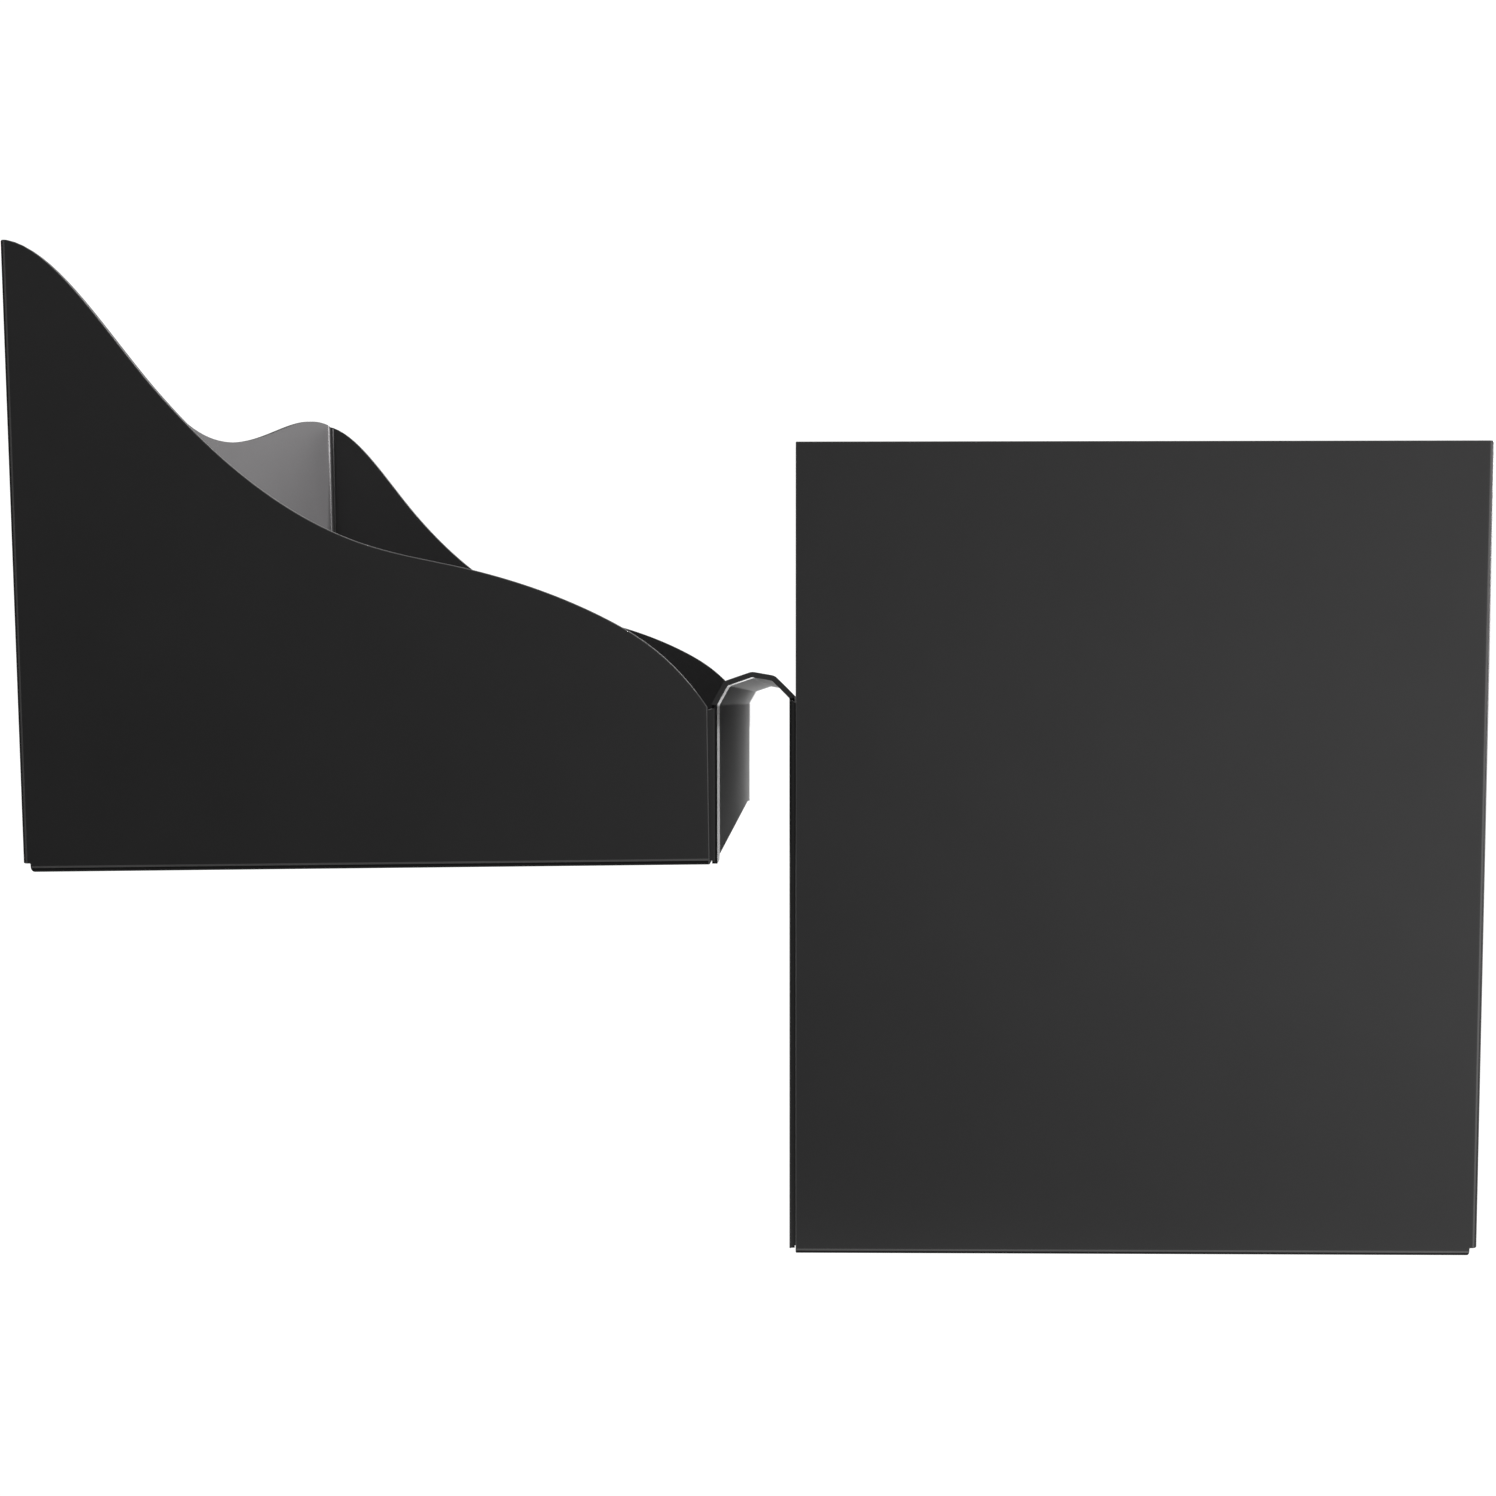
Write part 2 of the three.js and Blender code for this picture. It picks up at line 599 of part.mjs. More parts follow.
const sluice = new THREE.Group();
sluice.add(buildHeader());
sluice.add(buildTray());
sluice.position.set(-(backCornerX() + HEADER_LENGTH) / 2, -DEPTH / 2, 0);

export default sluice;
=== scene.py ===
# %% [markdown]
# # A sheet-steel sluice box
# The frame holds every part at its real place and size, in metres. This script gives each part
# the surface that a maker would see: folded sheet with rounded bends and broken edges, and a
# powder coat with its fine orange-peel skin. The frame is loaded first, because every place
# below is measured from it.

# %% Load the frame
import json
import math
import bmesh
import bpy
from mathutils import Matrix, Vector


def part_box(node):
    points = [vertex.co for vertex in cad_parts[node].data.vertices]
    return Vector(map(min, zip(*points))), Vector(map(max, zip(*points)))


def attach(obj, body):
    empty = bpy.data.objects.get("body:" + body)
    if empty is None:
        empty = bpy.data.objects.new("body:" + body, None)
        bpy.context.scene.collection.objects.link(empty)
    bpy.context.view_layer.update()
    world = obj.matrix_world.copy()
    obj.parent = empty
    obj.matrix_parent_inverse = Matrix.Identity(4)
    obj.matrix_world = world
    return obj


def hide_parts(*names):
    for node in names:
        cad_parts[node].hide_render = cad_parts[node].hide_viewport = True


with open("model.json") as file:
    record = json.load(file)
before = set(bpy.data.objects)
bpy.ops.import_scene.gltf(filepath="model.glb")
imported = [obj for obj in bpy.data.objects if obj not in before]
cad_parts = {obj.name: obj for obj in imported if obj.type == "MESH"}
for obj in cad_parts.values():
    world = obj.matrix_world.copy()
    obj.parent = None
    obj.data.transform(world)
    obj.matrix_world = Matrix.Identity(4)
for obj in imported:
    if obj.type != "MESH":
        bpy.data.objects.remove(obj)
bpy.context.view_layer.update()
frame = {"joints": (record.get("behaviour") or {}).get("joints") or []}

# %% [markdown]
# ## Sizes
# A folded box is a few numbers: the sheet, the bend, and the outline. The outline's numbers are
# the ones that the part was designed with. The notch and the broken edge belong to the surface
# alone. The tray leans a little, and its lean is read from the direction in which its mat lifts
# out, so that the two can't disagree.

# %% Driving sizes
MM = 0.001
SHEET = 2 * MM
GAP = 0.3 * MM
BEND = 2.5 * MM
NOTCH = 3.4 * MM
EDGE_BREAK = 0.35 * MM
FLANGE = 16 * MM
HALF_DEPTH = 150 * MM
INNER_HALF = HALF_DEPTH - SHEET - GAP
FOOT_HALF = HALF_DEPTH - FLANGE - 1 * MM
header_low, header_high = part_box("header_side_near")
HEADER_LEFT = header_low.x
HEADER_RIGHT = header_high.x
HEADER_TOP = header_high.z
WEIR_RIGHT = HEADER_LEFT - GAP
TRAY_LENGTH = 254.4 * MM
TRAY_BACK_HEIGHT = 230.6 * MM
BACK_WALL_DIP = 37.6 * MM
lift_axis = next(j["axis"] for j in frame["joints"] if j["name"] == "mat_lift")
TILT = math.asin(-lift_axis[0])
TRAY_PIVOT = Vector((WEIR_RIGHT - 31.3 * MM, 0, 145.65 * MM))
print("header from", round(HEADER_LEFT, 4), "to", round(HEADER_RIGHT, 4))
print("tray leans", round(math.degrees(TILT), 3), "degrees")

# %% [markdown]
# ## Camera
# A nearly level look at the near sides: the camera stands close, a little below the weir's
# crest, and is barely turned. The small shift keeps both boxes inside the square frame.

# %% Camera
LENS = 29.02
SHIFT = (-0.0287, 0.0003)
STAND_RIGHT = 2.147 * MM
STAND_OFF = 440.85 * MM
EYE_HEIGHT = 206.1 * MM
LOOK_DOWN = 0.03952
LOOK_LEFT = 0.00806


def add_camera():
    data = bpy.data.cameras.new("view_camera")
    data.sensor_width = 36
    data.lens = LENS
    data.shift_x, data.shift_y = SHIFT
    camera = bpy.data.objects.new("view_camera", data)
    bpy.context.scene.collection.objects.link(camera)
    camera.location = (WEIR_RIGHT + STAND_RIGHT, -HALF_DEPTH - STAND_OFF, EYE_HEIGHT)
    camera.rotation_euler = (math.pi / 2 - LOOK_DOWN, 0, LOOK_LEFT)
    bpy.context.scene.camera = camera
    return camera


camera = add_camera()
print("camera at", [round(v, 3) for v in camera.location])

# %% [markdown]
# ## Studio
# Dark coated steel shows its shape by what it reflects, so the room matters more than the lamps.
# A bright wall behind and a dimmer room in front keep the near faces dark, a large soft lamp on
# the right lights everything that faces it, and the pale floor throws a little light back up.
# The lamp is a plain area light, aimed at a point.

# %% Soft lamp
def soft_lamp(name, place, aim, size, power, colour=(1, 1, 1)):
    data = bpy.data.lights.new(name, "AREA")
    data.shape = "RECTANGLE"
    data.size, data.size_y = size
    data.energy = power
    data.color = colour
    lamp = bpy.data.objects.new(name, data)
    bpy.context.scene.collection.objects.link(lamp)
    lamp.location = place
    lamp.rotation_euler = (Vector(aim) - Vector(place)).to_track_quat("-Z", "Y").to_euler()
    return lamp


print("a soft lamp is an area light that looks along its own -Z")

# %% [markdown]
# The room is not lit evenly. In front it is dim at the left and grows brighter to the right, as
# beside a big window, and behind the boxes it is plain and bright. An exponential gives that
# growth without a visible step, and a limit stops it running away far out on the floor.

# %% Uneven light
BRIGHTEST = 1.2


def side_to_side(tree, place, middle, growth):
    """Light that grows from left to right, up to a limit: middle is its value at X = 0."""
    split = tree.nodes.new("ShaderNodeSeparateXYZ")
    tree.links.new(place, split.inputs[0])
    scaled = tree.nodes.new("ShaderNodeMath")
    scaled.operation = "MULTIPLY"
    scaled.inputs[1].default_value = growth
    tree.links.new(split.outputs["X"], scaled.inputs[0])
    power = tree.nodes.new("ShaderNodeMath")
    power.operation = "EXPONENT"
    tree.links.new(scaled.outputs[0], power.inputs[0])
    light = tree.nodes.new("ShaderNodeMath")
    light.operation = "MULTIPLY"
    light.inputs[1].default_value = middle
    tree.links.new(power.outputs[0], light.inputs[0])
    limit = tree.nodes.new("ShaderNodeMath")
    limit.operation = "MINIMUM"
    limit.inputs[1].default_value = BRIGHTEST
    tree.links.new(light.outputs[0], limit.inputs[0])
    return split, limit.outputs[0]


def front_to_back(tree, depth, front, back, start, end):
    """Blends from the light in front to the light behind, between two depths."""
    fade = tree.nodes.new("ShaderNodeMapRange")
    fade.inputs["From Min"].default_value = start
    fade.inputs["From Max"].default_value = end
    tree.links.new(depth, fade.inputs["Value"])
    mix = tree.nodes.new("ShaderNodeMix")
    tree.links.new(fade.outputs[0], mix.inputs["Factor"])
    tree.links.new(front, mix.inputs["A"])
    mix.inputs["B"].default_value = back
    return mix.outputs["Result"]


def seen_as_white(tree, unseen, shader_type, output, strength=1.1):
    """Plain white to the camera, and the given shader to every reflection."""
    white = tree.nodes.new(shader_type)
    white.inputs["Color"].default_value = (1, 1, 1, 1)
    white.inputs["Strength"].default_value = strength
    sight = tree.nodes.new("ShaderNodeLightPath")
    choose = tree.nodes.new("ShaderNodeMixShader")
    tree.links.new(sight.outputs["Is Camera Ray"], choose.inputs[0])
    tree.links.new(unseen, choose.inputs[1])
    tree.links.new(white.outputs[0], choose.inputs[2])
    tree.links.new(choose.outputs[0], output)


print("the room's light stops growing at", BRIGHTEST)

# %% [markdown]
# The camera itself sees only white, so the boxes stand on a clean ground, while every reflection
# sees the uneven room. The floor works in the same way: it glows, rather than catching shadows.

# %% Room and floor
ROOM_FRONT = 0.35
ROOM_GROWTH = 1.7
ROOM_BACK = 0.65
FLOOR_GROWTH = 2.5
FLOOR_BACK = 1.5


def build_room():
    world = bpy.data.worlds.new("studio_room")
    bpy.context.scene.world = world
    world.use_nodes = True
    tree = world.node_tree
    where = tree.nodes.new("ShaderNodeTexCoord")
    split, front = side_to_side(tree, where.outputs["Generated"], ROOM_FRONT, ROOM_GROWTH)
    strength = front_to_back(tree, split.outputs["Y"], front, ROOM_BACK, -0.1, 0.6)
    room = tree.nodes["Background"]
    room.inputs["Color"].default_value = (1, 0.985, 0.985, 1)
    tree.links.new(strength, room.inputs["Strength"])
    seen_as_white(tree, room.outputs[0], "ShaderNodeBackground",
                  tree.nodes["World Output"].inputs["Surface"])


def build_floor():
    bpy.ops.mesh.primitive_circle_add(vertices=96, radius=9, fill_type="NGON")
    floor = bpy.context.object
    floor.name = "studio_floor"
    paint = bpy.data.materials.new("pale_floor")
    paint.use_nodes = True
    tree = paint.node_tree
    tree.nodes.remove(tree.nodes["Principled BSDF"])
    where = tree.nodes.new("ShaderNodeTexCoord")
    split, front = side_to_side(tree, where.outputs["Object"], ROOM_FRONT, FLOOR_GROWTH)
    strength = front_to_back(tree, split.outputs["Y"], front, FLOOR_BACK, -0.2, 0.1)
    bounce = tree.nodes.new("ShaderNodeEmission")
    tree.links.new(strength, bounce.inputs["Strength"])
    seen_as_white(tree, bounce.outputs[0], "ShaderNodeEmission",
                  tree.nodes["Material Output"].inputs["Surface"])
    floor.data.materials.append(paint)
    return floor


bpy.context.scene.view_settings.view_transform = "Standard"
build_room()
build_floor()
soft_lamp("right_softbox", place=(1.5, 0.32, 0.68), aim=(-0.25, 0, 0.3), size=(0.32, 0.36),
          power=105, colour=(1.0, 0.965, 0.985))

# %% [markdown]
# ## Surface effects
# Three small node groups make every finish here. Groups hand out only masks and normals, and
# each finish decides what to do with them. All of them read noise on the piece's own
# coordinates, so that the pattern stays on the metal when a piece moves.

# %% Group helpers
def new_group(name, inputs, outputs):
    group = bpy.data.node_groups.new(name, "ShaderNodeTree")
    for label, kind, value in inputs:
        socket = group.interface.new_socket(label, in_out="INPUT", socket_type=kind)
        socket.default_value = value
    for label, kind in outputs:
        group.interface.new_socket(label, in_out="OUTPUT", socket_type=kind)
    return group, group.nodes.new("NodeGroupInput"), group.nodes.new("NodeGroupOutput")


def noise(group, detail, roughness=0.5):
    """A noise texture on the piece's own coordinates, in metres."""
    where = group.nodes.new("ShaderNodeTexCoord")
    texture = group.nodes.new("ShaderNodeTexNoise")
    texture.inputs["Detail"].default_value = detail
    texture.inputs["Roughness"].default_value = roughness
    group.links.new(where.outputs["Object"], texture.inputs["Vector"])
    return texture


# %% [markdown]
# The first group is the coat's skin: powder that melts and levels leaves a fine, shallow ripple,
# called orange peel, with a faint mottling in shade.

# %% Coat skin
def coat_skin():
    group, given, out = new_group(
        "coat_skin",
        [("Peel Scale", "NodeSocketFloat", 650.0), ("Peel Depth", "NodeSocketFloat", 0.00004)],
        [("Mottle", "NodeSocketFloat"), ("Speck", "NodeSocketFloat"), ("Normal", "NodeSocketVector")],
    )
    peel = noise(group, 2.0)
    mottle = noise(group, 4.0, 0.6)
    mottle.inputs["Scale"].default_value = 28
    speck = noise(group, 1.0)
    speck.inputs["Scale"].default_value = 2600
    bump = group.nodes.new("ShaderNodeBump")
    bump.inputs["Strength"].default_value = 0.35
    group.links.new(given.outputs["Peel Scale"], peel.inputs["Scale"])
    group.links.new(given.outputs["Peel Depth"], bump.inputs["Distance"])
    group.links.new(peel.outputs["Fac"], bump.inputs["Height"])
    group.links.new(mottle.outputs["Fac"], out.inputs["Mottle"])
    group.links.new(speck.outputs["Fac"], out.inputs["Speck"])
    group.links.new(bump.outputs["Normal"], out.inputs["Normal"])
    return group


SKIN = coat_skin()
print("made", SKIN.name)

# %% [markdown]
# The second draws the fine parallel scratches of rolled or brushed metal. Noise that is squeezed
# along two axes and left long on the third turns from blots into streaks.

# %% Metal grain
def metal_grain():
    group, given, out = new_group(
        "metal_grain",
        [("Stretch", "NodeSocketVector", (6.0, 6.0, 900.0)), ("Depth", "NodeSocketFloat", 0.00002)],
        [("Streak", "NodeSocketFloat"), ("Cloud", "NodeSocketFloat"), ("Normal", "NodeSocketVector")],
    )
    streak = noise(group, 5.0, 0.7)
    streak.inputs["Scale"].default_value = 1
    scaled = group.nodes.new("ShaderNodeVectorMath")
    scaled.operation = "MULTIPLY"
    where = streak.inputs["Vector"].links[0].from_socket
    group.links.new(where, scaled.inputs[0])
    group.links.new(given.outputs["Stretch"], scaled.inputs[1])
    group.links.new(scaled.outputs[0], streak.inputs["Vector"])
    cloud = noise(group, 3.0)
    cloud.inputs["Scale"].default_value = 60
    bump = group.nodes.new("ShaderNodeBump")
    bump.inputs["Strength"].default_value = 0.3
    group.links.new(given.outputs["Depth"], bump.inputs["Distance"])
    group.links.new(streak.outputs["Fac"], bump.inputs["Height"])
    group.links.new(streak.outputs["Fac"], out.inputs["Streak"])
    group.links.new(cloud.outputs["Fac"], out.inputs["Cloud"])
    group.links.new(bump.outputs["Normal"], out.inputs["Normal"])
    return group


GRAIN = metal_grain()
print("made", GRAIN.name)

# %% [markdown]
# The third lays a breath of dust where the surface looks up, in patches.

# %% Settled dust
def settled_dust():
    group, given, out = new_group(
        "settled_dust", [("Amount", "NodeSocketFloat", 0.15)], [("Dust", "NodeSocketFloat")]
    )
    geometry = group.nodes.new("ShaderNodeNewGeometry")
    split = group.nodes.new("ShaderNodeSeparateXYZ")
    group.links.new(geometry.outputs["Normal"], split.inputs[0])
    patch = noise(group, 6.0, 0.65)
    patch.inputs["Scale"].default_value = 22
    facing_up = group.nodes.new("ShaderNodeMapRange")
    facing_up.inputs["From Min"].default_value = 0.6
    group.links.new(split.outputs["Z"], facing_up.inputs["Value"])
    both = group.nodes.new("ShaderNodeMath")
    both.operation = "MULTIPLY"
    group.links.new(facing_up.outputs[0], both.inputs[0])
    group.links.new(patch.outputs["Fac"], both.inputs[1])
    scaled = group.nodes.new("ShaderNodeMath")
    scaled.operation = "MULTIPLY"
    group.links.new(both.outputs[0], scaled.inputs[0])
    group.links.new(given.outputs["Amount"], scaled.inputs[1])
    group.links.new(scaled.outputs[0], out.inputs["Dust"])
    return group


DUST = settled_dust()
print("groups", [g.name for g in bpy.data.node_groups])

# %% [markdown]
# ## Finishes
# A finish is one Principled shader with a few groups feeding it. A ramp narrows a mask down to
# the small range that a real surface has, because real coats vary by a shade, not from black to
# white. A blend lays the dust over the colour.

# %% Finish helpers
def place_group(tree, group, **values):
    node = tree.nodes.new("ShaderNodeGroup")
    node.node_tree = group
    for label, value in values.items():
        node.inputs[label.replace("_", " ")].default_value = value
    return node


def ramp(tree, factor, low, high, start=0.3, end=0.7):
    """Turns a mask into a value or colour between low and high."""
    node = tree.nodes.new("ShaderNodeValToRGB")
    node.color_ramp.elements[0].position = start
    node.color_ramp.elements[1].position = end
    node.color_ramp.elements[0].color = low if isinstance(low, tuple) else (low,) * 3 + (1,)
    node.color_ramp.elements[1].color = high if isinstance(high, tuple) else (high,) * 3 + (1,)
    tree.links.new(factor, node.inputs[0])
    return node.outputs["Color"]


def blend(tree, factor, base, over):
    node = tree.nodes.new("ShaderNodeMix")
    node.data_type = "RGBA"
    tree.links.new(factor, node.inputs["Factor"])
    tree.links.new(base, node.inputs["A"])
    node.inputs["B"].default_value = over
    return node.outputs["Result"]


def new_finish(name):
    material = bpy.data.materials.new(name)
    material.use_nodes = True
    tree = material.node_tree
    return material, tree, tree.nodes["Principled BSDF"]


# %% [markdown]
# Three kinds of surface are enough: a powder coat, a bare metal and a moulded rubber. Each is a
# function, so that variants of it differ only in their numbers.

# %% Kinds of finish
def powder_coat(name, dark, pale, smooth, rough, dust=0.02):
    material, tree, shader = new_finish(name)
    skin = place_group(tree, SKIN)
    shade = ramp(tree, skin.outputs["Mottle"], dark, pale)
    film = place_group(tree, DUST, Amount=dust)
    tree.links.new(blend(tree, film.outputs["Dust"], shade, (0.25, 0.24, 0.22, 1)),
                   shader.inputs["Base Color"])
    tree.links.new(ramp(tree, skin.outputs["Speck"], smooth, rough), shader.inputs["Roughness"])
    tree.links.new(skin.outputs["Normal"], shader.inputs["Normal"])
    shader.inputs["Specular IOR Level"].default_value = 0.5
    return material


def bare_metal(name, dark, pale, smooth, rough, stretch):
    material, tree, shader = new_finish(name)
    grain = place_group(tree, GRAIN, Stretch=stretch)
    shader.inputs["Metallic"].default_value = 1.0
    tree.links.new(ramp(tree, grain.outputs["Cloud"], dark, pale), shader.inputs["Base Color"])
    tree.links.new(ramp(tree, grain.outputs["Streak"], smooth, rough), shader.inputs["Roughness"])
    tree.links.new(grain.outputs["Normal"], shader.inputs["Normal"])
    return material


def mat_rubber(name):
    material, tree, shader = new_finish(name)
    skin = place_group(tree, SKIN, Peel_Scale=1400.0, Peel_Depth=0.00006)
    shade = ramp(tree, skin.outputs["Mottle"], (0.012, 0.012, 0.012, 1), (0.022, 0.022, 0.021, 1))
    film = place_group(tree, DUST, Amount=0.12)
    tree.links.new(blend(tree, film.outputs["Dust"], shade, (0.2, 0.18, 0.15, 1)),
                   shader.inputs["Base Color"])
    tree.links.new(ramp(tree, skin.outputs["Speck"], 0.7, 0.9), shader.inputs["Roughness"])
    tree.links.new(skin.outputs["Normal"], shader.inputs["Normal"])
    return material


# %% [markdown]
# The boxes are charcoal powder coat. Cut edges and the start of each fold get a paler band, a
# painted highlight, and the rest of the bend gets a darker and duller one, a painted shade. Each
# band is its own finish, put on just those faces. The weir's margins are painted as bright bare
# steel, a painted highlight where the lamp on the right shines into the gap. The fittings are
# zinc-plated, the riffles mill-finish aluminium.

# %% Finishes
COAT = powder_coat("charcoal_powder_coat", dark=(0.025, 0.025, 0.0253, 1),
                   pale=(0.028, 0.028, 0.0283, 1), smooth=0.46, rough=0.54)
# Painted highlight: the bevels on cut edges are painted paler, for the light that edges catch.
PAINTED_EDGE_HIGHLIGHT = powder_coat("cut_edges_painted_highlight", dark=(0.085, 0.085, 0.085, 1),
                        pale=(0.110, 0.110, 0.110, 1), smooth=0.40, rough=0.48, dust=0.0)
# Painted shade: the part of each outer bend that turns away, and the weir's lip bends beside the
# tray, are painted darker and duller.
PAINTED_BEND_SHADE = powder_coat("bends_painted_shade", dark=(0.008, 0.008, 0.008, 1),
                          pale=(0.010, 0.010, 0.010, 1), smooth=0.62, rough=0.70, dust=0.0)
PAINTED_BEND_SHADE.node_tree.nodes["Principled BSDF"].inputs["Specular IOR Level"].default_value = 0.15
# Painted highlight: the first facet of each outer bend is painted paler, for the light that it
# catches.
PAINTED_FOLD_HIGHLIGHT = powder_coat("folds_painted_highlight", dark=(0.110, 0.109, 0.109, 1),
                        pale=(0.130, 0.129, 0.129, 1), smooth=0.42, rough=0.50, dust=0.0)
# Painted highlight: bright bare steel on the weir's margins where the lamp on the right shines into
# the gap.
PAINTED_MARGIN_HIGHLIGHT = bare_metal("margin_painted_highlight", dark=(0.23, 0.23, 0.233, 1),
                          pale=(0.32, 0.32, 0.323, 1), smooth=0.18, rough=0.26,
                          stretch=(300.0, 300.0, 20.0))
ZINC = bare_metal("zinc_plated_steel", dark=(0.50, 0.51, 0.53, 1), pale=(0.66, 0.67, 0.68, 1),
                  smooth=0.22, rough=0.4, stretch=(40.0, 40.0, 40.0))
MILL_ALUMINIUM = bare_metal("mill_aluminium", dark=(0.60, 0.61, 0.63, 1),
                            pale=(0.74, 0.75, 0.76, 1), smooth=0.28, rough=0.45,
                            stretch=(500.0, 6.0, 500.0))
RUBBER = mat_rubber("ribbed_rubber")
print("finishes", [m.name for m in bpy.data.materials if m.name != "pale_floor"])

# %% [markdown]
# ## Working with sheet
# Every panel here starts as a flat face, and the flanges are pulled out of its edges as a brake
# press folds them. The folds are rounded, the sheet gets its thickness inwards, and last every
# cut edge is broken with a narrow bevel. All of that needs a way to select vertices, edges and
# faces by where they lie, which comes first.

# %% Selecting by place
CLOSE = 0.02 * MM


def close(a, b):
    return abs(a - b) < CLOSE


def only(piece):
    bpy.ops.object.select_all(action="DESELECT")
    piece.select_set(True)
    bpy.context.view_layer.objects.active = piece


def edit(piece):
    only(piece)
    bpy.ops.object.mode_set(mode="EDIT")


def leave_edit():
    bpy.ops.object.mode_set(mode="OBJECT")


def pick(kind, test):
    """Selects the vertices, edges or faces whose middle passes the test."""
    bpy.ops.mesh.select_mode(type=kind)
    bpy.ops.mesh.select_all(action="DESELECT")
    mesh = bmesh.from_edit_mesh(bpy.context.edit_object.data)
    found = 0
    for item in {"VERT": mesh.verts, "EDGE": mesh.edges, "FACE": mesh.faces}[kind]:
        corners = [item] if kind == "VERT" else list(item.verts)
        middle = sum((v.co for v in corners), Vector()) / len(corners)
        if test(middle, item):
            item.select_set(True)
            found += 1
    mesh.select_flush_mode()
    bmesh.update_edit_mesh(bpy.context.edit_object.data)
    return found


print("two places count as one within", CLOSE / MM, "mm")

# %% [markdown]
# A flat face is a grid, turned to face one way and stretched to its size. An edge extruded from
# it is a flange, a bevel along the corner is the bend, and a small square cut away at a corner
# lets two bends end beside each other.

# %% Folding
FACING = {
    "-Y": (math.pi / 2, 0, 0),
    "+X": (math.pi / 2, 0, math.pi / 2),
    "-X": (math.pi / 2, 0, -math.pi / 2),
    "+Z": (0, 0, 0),
}


def flat_face(name, x, y, z, facing, columns=1, rows=1):
    """A rectangle at a place. Each of x, y and z is one value or a (low, high) pair."""
    spans = [v if isinstance(v, tuple) else (v, v) for v in (x, y, z)]
    middle = [(low + high) / 2 for low, high in spans]
    size = [high - low for low, high in spans]
    bpy.ops.mesh.primitive_grid_add(
        x_subdivisions=columns, y_subdivisions=rows, size=1, location=middle,
        rotation=FACING[facing])
    piece = bpy.context.object
    piece.name = name
    width = size[0] if facing[1] != "X" else size[1]
    height = size[1] if facing[1] == "Z" else size[2]
    piece.scale = (width, height, 1)
    bpy.ops.object.transform_apply(location=True, rotation=True, scale=True)
    return piece


def pull_edge(test, move):
    """Folds a flange out of the edges that pass the test."""
    found = pick("EDGE", test)
    bpy.ops.mesh.extrude_edges_move(TRANSFORM_OT_translate={"value": move})
    return found


def shift_picked(move):
    bpy.ops.transform.translate(value=move)


def round_folds(test, radius=BEND, steps=5):
    pick("EDGE", test)
    bpy.ops.mesh.bevel(offset=radius, offset_type="OFFSET", segments=steps, affect="EDGES")


def cut_notch(corner, inward):
    """Takes a small square out of a side panel's corner, where a fold has to end. corner is
    the corner's place, and inward is +1 or -1 along X, towards the panel."""
    line = Vector((corner.x + inward * NOTCH, 0, corner.z + NOTCH))
    for normal in ((1, 0, 0), (0, 0, 1)):
        bpy.ops.mesh.select_all(action="SELECT")
        bpy.ops.mesh.bisect(plane_co=line, plane_no=normal)
    pick("FACE", lambda p, f: inward * (line.x - p.x) > 0 and p.z < line.z)
    bpy.ops.mesh.delete(type="FACE")


def round_corners(test, radius, steps=5):
    pick("VERT", test)
    bpy.ops.mesh.bevel(offset=radius, offset_type="OFFSET", segments=steps, affect="VERTICES")


print("bends are", BEND / MM, "mm in radius, notches", NOTCH / MM, "mm")

# %% [markdown]
# The sheet gets its thickness from Solidify, holes and punches are Booleans, and Bevel breaks the
# edges and gives the narrow new faces their own finish. Bevel's clamp keeps new faces from
# crossing, and where a piece has very small faces it leaves only a hair of a break: on the weir,
# the tray's back wall and the guide channels. Weighted normals then keep the large faces flat:
# without them, the smoothed shading of a bevel spreads streaks over a punched sheet.

# %% Thickness, edges and shading
SMOOTH_BELOW = math.radians(28)


def apply_modifier(piece, kind, **settings):
    modifier = piece.modifiers.new(kind.lower(), kind)
    for key, value in settings.items():
        setattr(modifier, key, value)
    only(piece)
    bpy.ops.object.modifier_apply(modifier=modifier.name)


def thicken(piece, thickness=SHEET):
    apply_modifier(piece, "SOLIDIFY", thickness=thickness, offset=-1, use_even_offset=True,
                   use_quality_normals=True)


def cut(piece, cutter):
    """Takes the cutter's shape out of the piece, and removes the cutter."""
    apply_modifier(piece, "BOOLEAN", operation="DIFFERENCE", solver="EXACT", object=cutter)
    bpy.data.objects.remove(cutter)


def settle_shading(piece):
    """Smooths the narrow bevels and bends, and keeps the large faces flat."""
    only(piece)
    bpy.ops.object.shade_smooth_by_angle(angle=SMOOTH_BELOW)
    apply_modifier(piece, "WEIGHTED_NORMAL", keep_sharp=True)


def break_edges(piece, finishes, width=EDGE_BREAK, steps=2, angle=32):
    if not piece.data.materials:
        piece.data.materials.append(finishes[0])
    if finishes[-1] not in list(piece.data.materials):
        piece.data.materials.append(finishes[-1])
    # The bevel faces take the last finish; on coated sheet that is the paler painted edge highlight.
    apply_modifier(piece, "BEVEL", width=width, segments=steps, limit_method="ANGLE",
                   angle_limit=math.radians(angle), material=len(piece.data.materials) - 1,
                   harden_normals=False, use_clamp_overlap=True)
    settle_shading(piece)


print("cut edges are broken by", EDGE_BREAK / MM, "mm, unless a piece asks for another width")

# %% [markdown]
# Pegs are round bars. They are punches here, and studs later. A spot weld leaves a shallow round
# dimple where the electrode pressed, so a row of short pegs is taken out of the flange.

# %% Pegs and spot welds
WELD_RADIUS = 2.6 * MM
WELD_DEPTH = 0.25 * MM
WELD_INSET = 9 * MM


def repeat(piece, count, step):
    apply_modifier(piece, "ARRAY", count=count, use_relative_offset=False,
                   use_constant_offset=True, constant_offset_displace=step)


